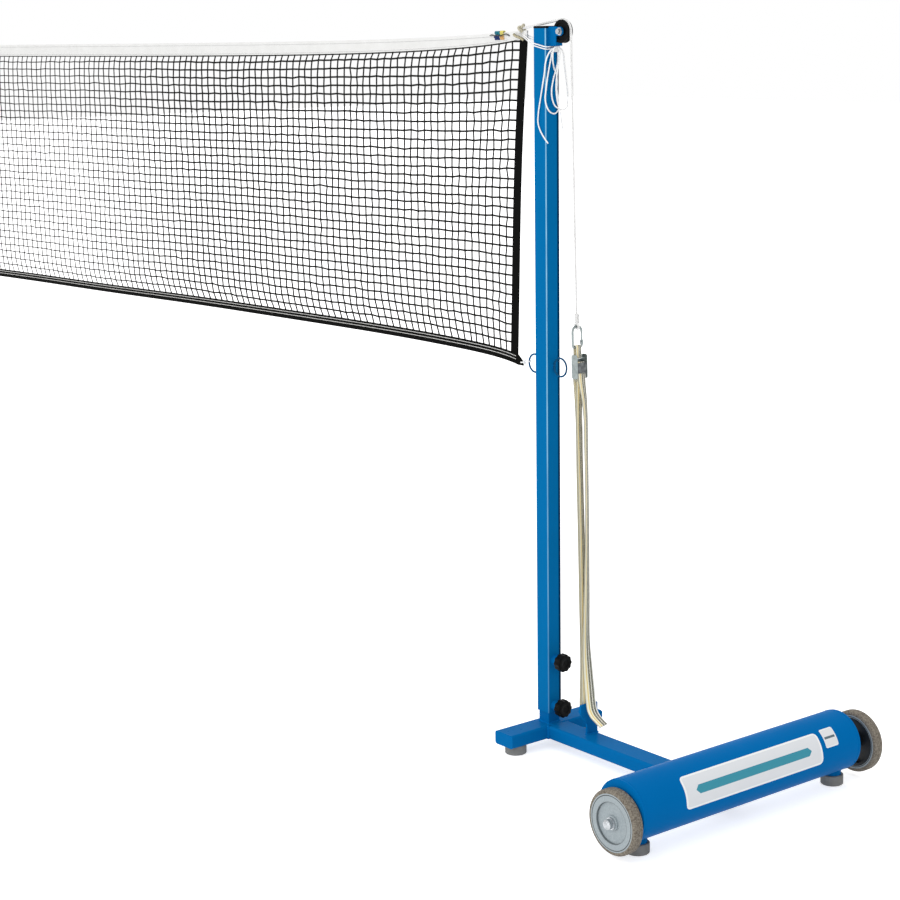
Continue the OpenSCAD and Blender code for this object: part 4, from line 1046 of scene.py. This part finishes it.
def weld_beads():
    """All beads of one post, each along the line where two parts meet."""
    beam_at = 180 + math.degrees(math.asin((drum_z - beam_top) / drum_r))
    top = arc((drum_x, drum_z), drum_r + 0.6, beam_at, 246, 8)
    cope = np.vstack([np.column_stack([top[::-1, 0], np.full(9, -29.3), top[::-1, 1]]),
                      np.column_stack([top[:, 0], np.full(9, 29.3), top[:, 1]])])
    foot = [[[x, s * x, z] for x, z in ((29.4, 23), (29.4, 44), (28, 48.6), (25.6, 51))] for s in (-1, 1)]
    made = [bead(rounded_loop(0, 0, 16.3, 16.3, 2, beam_top), 2.4, loop=True), bead(cope, 2.2, (1, 0, 0.3)),
            bead(rounded_loop(123, 13, 3.2, 15.6, 1.5, beam_top), 2.2, loop=True)]
    made += [bead(path, 3.2, (1, 0, 0)) for path in foot]
    a = np.linspace(0, 2 * np.pi, 36, endpoint=False)
    for y in (-boss_y, boss_y):
        reach = boss_r * np.cos(a)
        boss = np.column_stack([drum_x + reach, y + boss_r * np.sin(a),
                                drum_z - np.sqrt(drum_r**2 - reach**2)])
        made.append(bead(boss, 1.8, (0.05, 0, 1), loop=True))
    skin_x = face + 0.2
    made += [bead(ring_on_x(skin_x, 0, z, 11.2), 1.5, (1, 0, 0), loop=True) for z in knob_heights.values()]
    made += [bead(ring_on_x(s * skin_x, 0, ring_z, 3.4, 16), 1.0, (1, 0, 0), loop=True) for s in (-1, 1)]
    made += [bead([[skin_x, y, bracket_foot], [skin_x, y, bracket_top]], 1.2, (1, 0, 0)) for y in (-9.2, 9.2)]
    c = circle(drum_r - 0.1, 96)
    for y in drum_ends:
        rim = np.column_stack([drum_x + c[:, 0], np.full(96, y), drum_z + c[:, 1]])
        made.append(sweep(rim, circle(0.7, 6), (0, 1, 0), loop=True))
    return made


beads = [placed(s, side) for side in sides.values() for s in weld_beads()]
piece("weld_beads", beads, drum_blue)

# %% [markdown]
# ## Clamp knobs
# Knobs moulded round a threaded stud: ten shallow lobes, edges rounded, a dish in the face. The outline is
# a circle plus a cosine with ten turns; a list of rings gives height, plain radius and share of the lobes.

# %% Clamp knobs
knob_rings = [  # distance from the post's axis, plain radius, share of the lobed outline
    (29.5, 8.4, 0), (30.0, 9.0, 0), (34.8, 9.0, 0), (36.0, 10.2, 0), (36.1, 13.1, 0), (36.4, 0, 0.93),
    (37.2, 0, 0.985), (38.6, 0, 1.0), (50.6, 0, 1.0), (52.2, 0, 0.985), (53.3, 0, 0.94), (53.9, 0, 0.86),
    (54.0, 0, 0.78), (54.0, 9.2, 0), (53.7, 8.4, 0), (53.0, 8.0, 0), (52.8, 7.0, 0)]


def knob_grip(z):
    """Each ring is its plain radius, or its share of 19.0 + 0.9 cos(10 angle)."""
    a = np.arange(100) * 2 * np.pi / 100
    star = 19.0 + 0.9 * np.cos(10 * a)
    x, plain, share = np.array(knob_rings).T[..., None]
    r = plain + share * star[None]
    return close(np.stack([np.broadcast_to(x, r.shape), r * np.cos(a), z + r * np.sin(a)], -1))


def knob_stud(z):
    """The stud inside the nut, and the plug that closes the dish over the stud's end. Both are blackened."""
    inside = sweep([[16.4, 0, z], [30, 0, z]], circle(4.95, 24), (0, 1, 0))
    end = sweep([[52.6, 0, z], [53.2, 0, z]], circle(3.2, 6), (0, 1, 0))
    return [inside, end]


for level, z in knob_heights.items():
    node = f"knob_{level}_{{}}"
    pair(f"{node}_grip", [knob_grip(z)], black_knob, f"{node}_body", [node])
    pair(f"{node}_stud", knob_stud(z), black_nylon, f"{node}_body", [node])

# %% [markdown]
# ## Labels
# The drum carries a large printed sticker and a small one. They are thin curved sheets with round corners,
# kept generic: plain bands of colour and nothing to read.

# %% Labels
def label(y0, y1, a0, a1, corner):
    """A thin sheet on the drum: at each y its arc is as wide as the rounded corner leaves it."""
    s = np.linspace(-1, 1, 41)
    y = (y0 + y1) / 2 + (y1 - y0) / 2 * np.sign(s) * (1 - (1 - np.abs(s)) ** 1.8)
    inset = np.maximum(0, corner - np.minimum(y - y0, y1 - y))
    half = np.radians(a1 - a0) / 2 - (corner - np.sqrt(np.maximum(0, corner**2 - inset**2))) / drum_r
    t = np.linspace(-1, 1, 25)
    angle = np.radians((a0 + a1) / 2) + half[:, None] * t[None]
    angle = np.hstack([angle, angle[:, ::-1]])
    r = drum_r + np.repeat([0.3, 0.05], 25)
    points = np.stack([drum_x + r * np.cos(angle), np.broadcast_to(y[:, None], angle.shape),
                       drum_z + r * np.sin(angle)], -1)
    v = np.r_[0.5 + 0.5 * t, 0.5 + 0.5 * t[::-1]][::-1]
    return close(points[:, ::-1], (y - y0) / (y1 - y0), v=np.r_[v, v[0]])


def printed(name, paper, ink, edge, stripe):
    """Printed vinyl: a paper-white plate with a thin outline, and one plain stripe with pointed ends whose
    half height is `stripe` of the plate's height."""
    made, tree, shader, place = new_material(name, {"Roughness": 0.35, "Specular IOR Level": 0.2})
    u, v = on_uv(tree)
    off_u, off_v = abs(u - 0.5), abs(v - 0.5)
    border = (off_u > 0.488) | (off_v > 0.44)
    bar = ((off_u - 0.40) | 0.0) * 5.8 + off_v < stripe
    colour = add(tree, "Mix", {0: border, 6: paper, 7: edge}, 2, data_type="RGBA")
    colour = add(tree, "Mix", {0: bar, 6: colour, 7: ink}, 2, data_type="RGBA")
    return skin(made, shader, colour, grain(place, 6, 2), 0.00008, 0.5)


big_print = printed("printed_vinyl_large", "#e3e6ea", "#3a93a8", "#f6f8f8", 0.13)
small_print = printed("printed_vinyl_small", "#e6e8ea", "#5d6f78", "#f4f6f6", 0.06)
pair("drum_label_{}", [label(-210, 178, -8, 53, 10)], big_print)
pair("small_label_{}", [label(191, 228, 18, 55, 4)], small_print)

# %% [markdown]
# ## Yarn marks
# Near each post, four small blocks of coloured yarn are sewn through the head tape: two over its upper edge
# and two below them. A black thread runs between the blocks.

# %% Yarn marks
def wrapped(x0, x1, low, high, turns, r):
    """Flat turns of yarn through the cloth and round its edge: a squared ellipse between two heights, moved
    along x as it turns. It is squared by raising sine and cosine to small powers."""
    t = np.linspace(0, 1, int(turns * 20) + 1)
    x = x0 + (x1 - x0) * t
    rise, reach = np.sin(2 * np.pi * turns * t), np.cos(2 * np.pi * turns * t)
    z = (high + low) / 2 + (high - low) / 2 * np.sign(rise) * np.abs(rise) ** 0.8
    y = -(2.1 + r) * np.sign(reach) * np.abs(reach) ** 0.35
    path = np.column_stack([x, y + flutter(post_x + x, z), z])
    return sweep(path, circle(r, 8), (1, 0, 0))


def yarn(name, dark, light):
    """Soft spun yarn."""
    return braided(name, dark, light, 2.5, 2, 0.0004)


yarn_marks = [  # name, colours, place along the tape, heights
    ("teal", "#0b6f86", "#1d93a6", -161, -145, 1533.2, 1541.6),
    ("navy", "#0f2350", "#213f86", -163, -146, 1524.4, 1532.0),
    ("yellow", "#e2cf52", "#f3ea86", -143.5, -133, 1533.6, 1542.4),
    ("orange", "#d39a55", "#eec07c", -144, -132, 1525.0, 1532.0)]
for name, dark, light, *place in yarn_marks:
    finish = yarn(f"spun_yarn_{name}", dark, light)
    pair(f"yarn_{name}_{{}}", [wrapped(*place, 6, 0.95)], finish)
cross = smooth([[-177, -3.0, 1533], [-169, -4.6, 1534.5], [-160, -5.2, 1532.6], [-150, -5.4, 1534],
                [-140, -5.2, 1532.4], [-131, -5.0, 1535], [-122, -4.2, 1536], [-113, -3.0, 1532]])
finish = yarn("spun_yarn_black", "#121212", "#2a2a2a")
pair("yarn_black_{}", [sweep(cross, circle(1.1, 8), (0, 1, 0))], finish)

# %% [markdown]
# ## The cap's skirt
# The plug in the post's top has a soft thin skirt that seals on the tube's end. It is a square band with
# round corners.

# %% Cap skirts
def cap_skirt():
    """A closed band round the tube's top: an upright flat section swept along the tube's outline."""
    outline = rounded_loop(0, 0, face + 0.3, face + 0.3, 3.3, 1548.5)
    return sweep(outline, [[1.5, 0.3], [-1.5, 0.3], [-1.5, -0.3], [1.5, -0.3]], (0, 0, 1), loop=True)


pair("cap_skirt_{}", [cap_skirt()], black_nylon)

# %% [markdown]
# ## Finishes of the frame's own nodes
# The frame's solids that show keep their mesh and get the procedural material of their slot. A few have a
# finish of their own: the posts with a painted highlight and painted shade along their corners, the back
# wheels, the wire rings in a darker blue of painted shade, and the dull hardware.

# %% Frame finishes
finishes = {
    "blue_enamel": base_blue, "drum_enamel": drum_blue, "iron_ballast": iron, "grey_rubber": foot_rubber,
    "grey_wheel_plastic": wheel_ends["front"], "grey_tyre_rubber": tyre_rubber, "black_nylon": black_nylon,
    "black_knob_plastic": black_knob, "zinc_steel": zinc, "cast_zinc_lever": cast_grey,
    "cream_webbing": webbing, "white_rope": white_rope, "white_cord": white_cord, "white_tape": white_tape,
    "black_tape": black_tape, "black_netting": black_twine}
node_slots = {row["node"]: row["material_slot"] for row in frame["record"]["subparts"]}
own_finish = {"net_rings": shaded_ring_blue}
for side_name in sides:
    own_finish[f"post_tube_{side_name}"] = post_blue
    own_finish[f"wheel_disc_{side_name}_back"] = wheel_ends["back"]
    for part in ("snap_hook", "hook_gate", "buckle_frame"):
        own_finish[f"{part}_{side_name}"] = dull_zinc
for part, node in frame["nodes"].items():
    finish = own_finish.get(part, finishes[node_slots[part]])
    if not node.material_slots:
        node.data.materials.append(finish)
    for slot in node.material_slots:
        slot.material = finish
print("dressed", len(frame["nodes"]), "nodes")

# %% [markdown]
# ## Floor and light
# A large pale floor keeps soft shadows; the world behind it is plain white to the camera and to anything
# that mirrors it. Its own light is weaker from the camera's right, so the drum and the posts' outer faces
# stay deeper. A wide soft lamp from the camera's left and a weaker one near the camera add shape.

# %% Floor and light
def seen_rays(tree):
    """1 for rays from the camera and for those that mirror or pass through something, else 0."""
    eye, mirror, glass = add(tree, "LightPath", out=("Is Camera Ray", "Is Glossy Ray", "Is Transmission Ray"))
    return eye | (mirror | glass)


bpy.context.scene.view_settings.view_transform = "Standard"
floor_mesh = bpy.data.meshes.new("floor")
floor_mesh.from_pydata([(-30, -30, 0), (30, -30, 0), (30, 30, 0), (-30, 30, 0)], [], [(0, 1, 2, 3)])
floor = bpy.data.objects.new("floor", floor_mesh)
bpy.context.scene.collection.objects.link(floor)
floor_paint, tree, shader, place = new_material("studio_floor", {
    "Base Color": "#f7f7f7", "Roughness": 0.9, "Specular IOR Level": 0.0, "Emission Color": (1, 1, 1, 1)})
spot = add(tree, "Mapping", {"Vector": place, "Scale": (1 / 4.2, 1 / 1.6, 1)})
away = add(tree, "VectorMath", {0: spot}, "Value", operation="LENGTH")
glow = add(tree, "MapRange", {0: away, 1: 1.0, 2: 2.2, 3: 0.60, 4: 0.74})
feed(shader, {"Emission Strength": seen_rays(tree) * glow})
floor_mesh.materials.append(floor_paint)
floor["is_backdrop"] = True

world = bpy.data.worlds.new("studio")
bpy.context.scene.world = world
world.use_nodes = True
tree = world.node_tree
tree.nodes.clear()
way = add(tree, "TexCoord", out="Generated")
to_right = add(tree, "VectorMath", {0: way, 1: (0.78, 0.62, 0.0)}, "Value", operation="DOT_PRODUCT")
soft_light = add(tree, "MapRange", {0: to_right, 1: 0.45, 2: 1.0, 3: 1.0, 4: 0.35})
strength = add(tree, "MapRange", {0: seen_rays(tree), 3: soft_light, 4: 1.0})
background = add(tree, "Background", {"Color": (1, 1, 1, 1), "Strength": strength})
add(tree, "OutputWorld", {"Surface": background}, ())


def lamp(name, place, target, width, height, power):
    """A rectangular area lamp that looks at a target."""
    light = bpy.data.lights.new(name, "AREA")
    light.shape, light.size, light.size_y, light.energy = "RECTANGLE", width, height, power
    made = bpy.data.objects.new(name, light)
    made.location = place
    made.rotation_euler = (Vector(target) - Vector(place)).to_track_quat("-Z", "Y").to_euler()
    bpy.context.scene.collection.objects.link(made)


lamp("key", (1.5, -6.5, 5.5), (2.6, 0, 0.7), 4.0, 4.0, 55)
lamp("front", (5.3, -4.4, 1.5), (3.05, 0, 0.9), 1.6, 2.6, 26)

# %% Finish
seen_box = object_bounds()
for title, box in (("frame", cad_box), ("dressed", seen_box)):
    print(title, [tuple(round(x, 3) for x in c) for c in box])
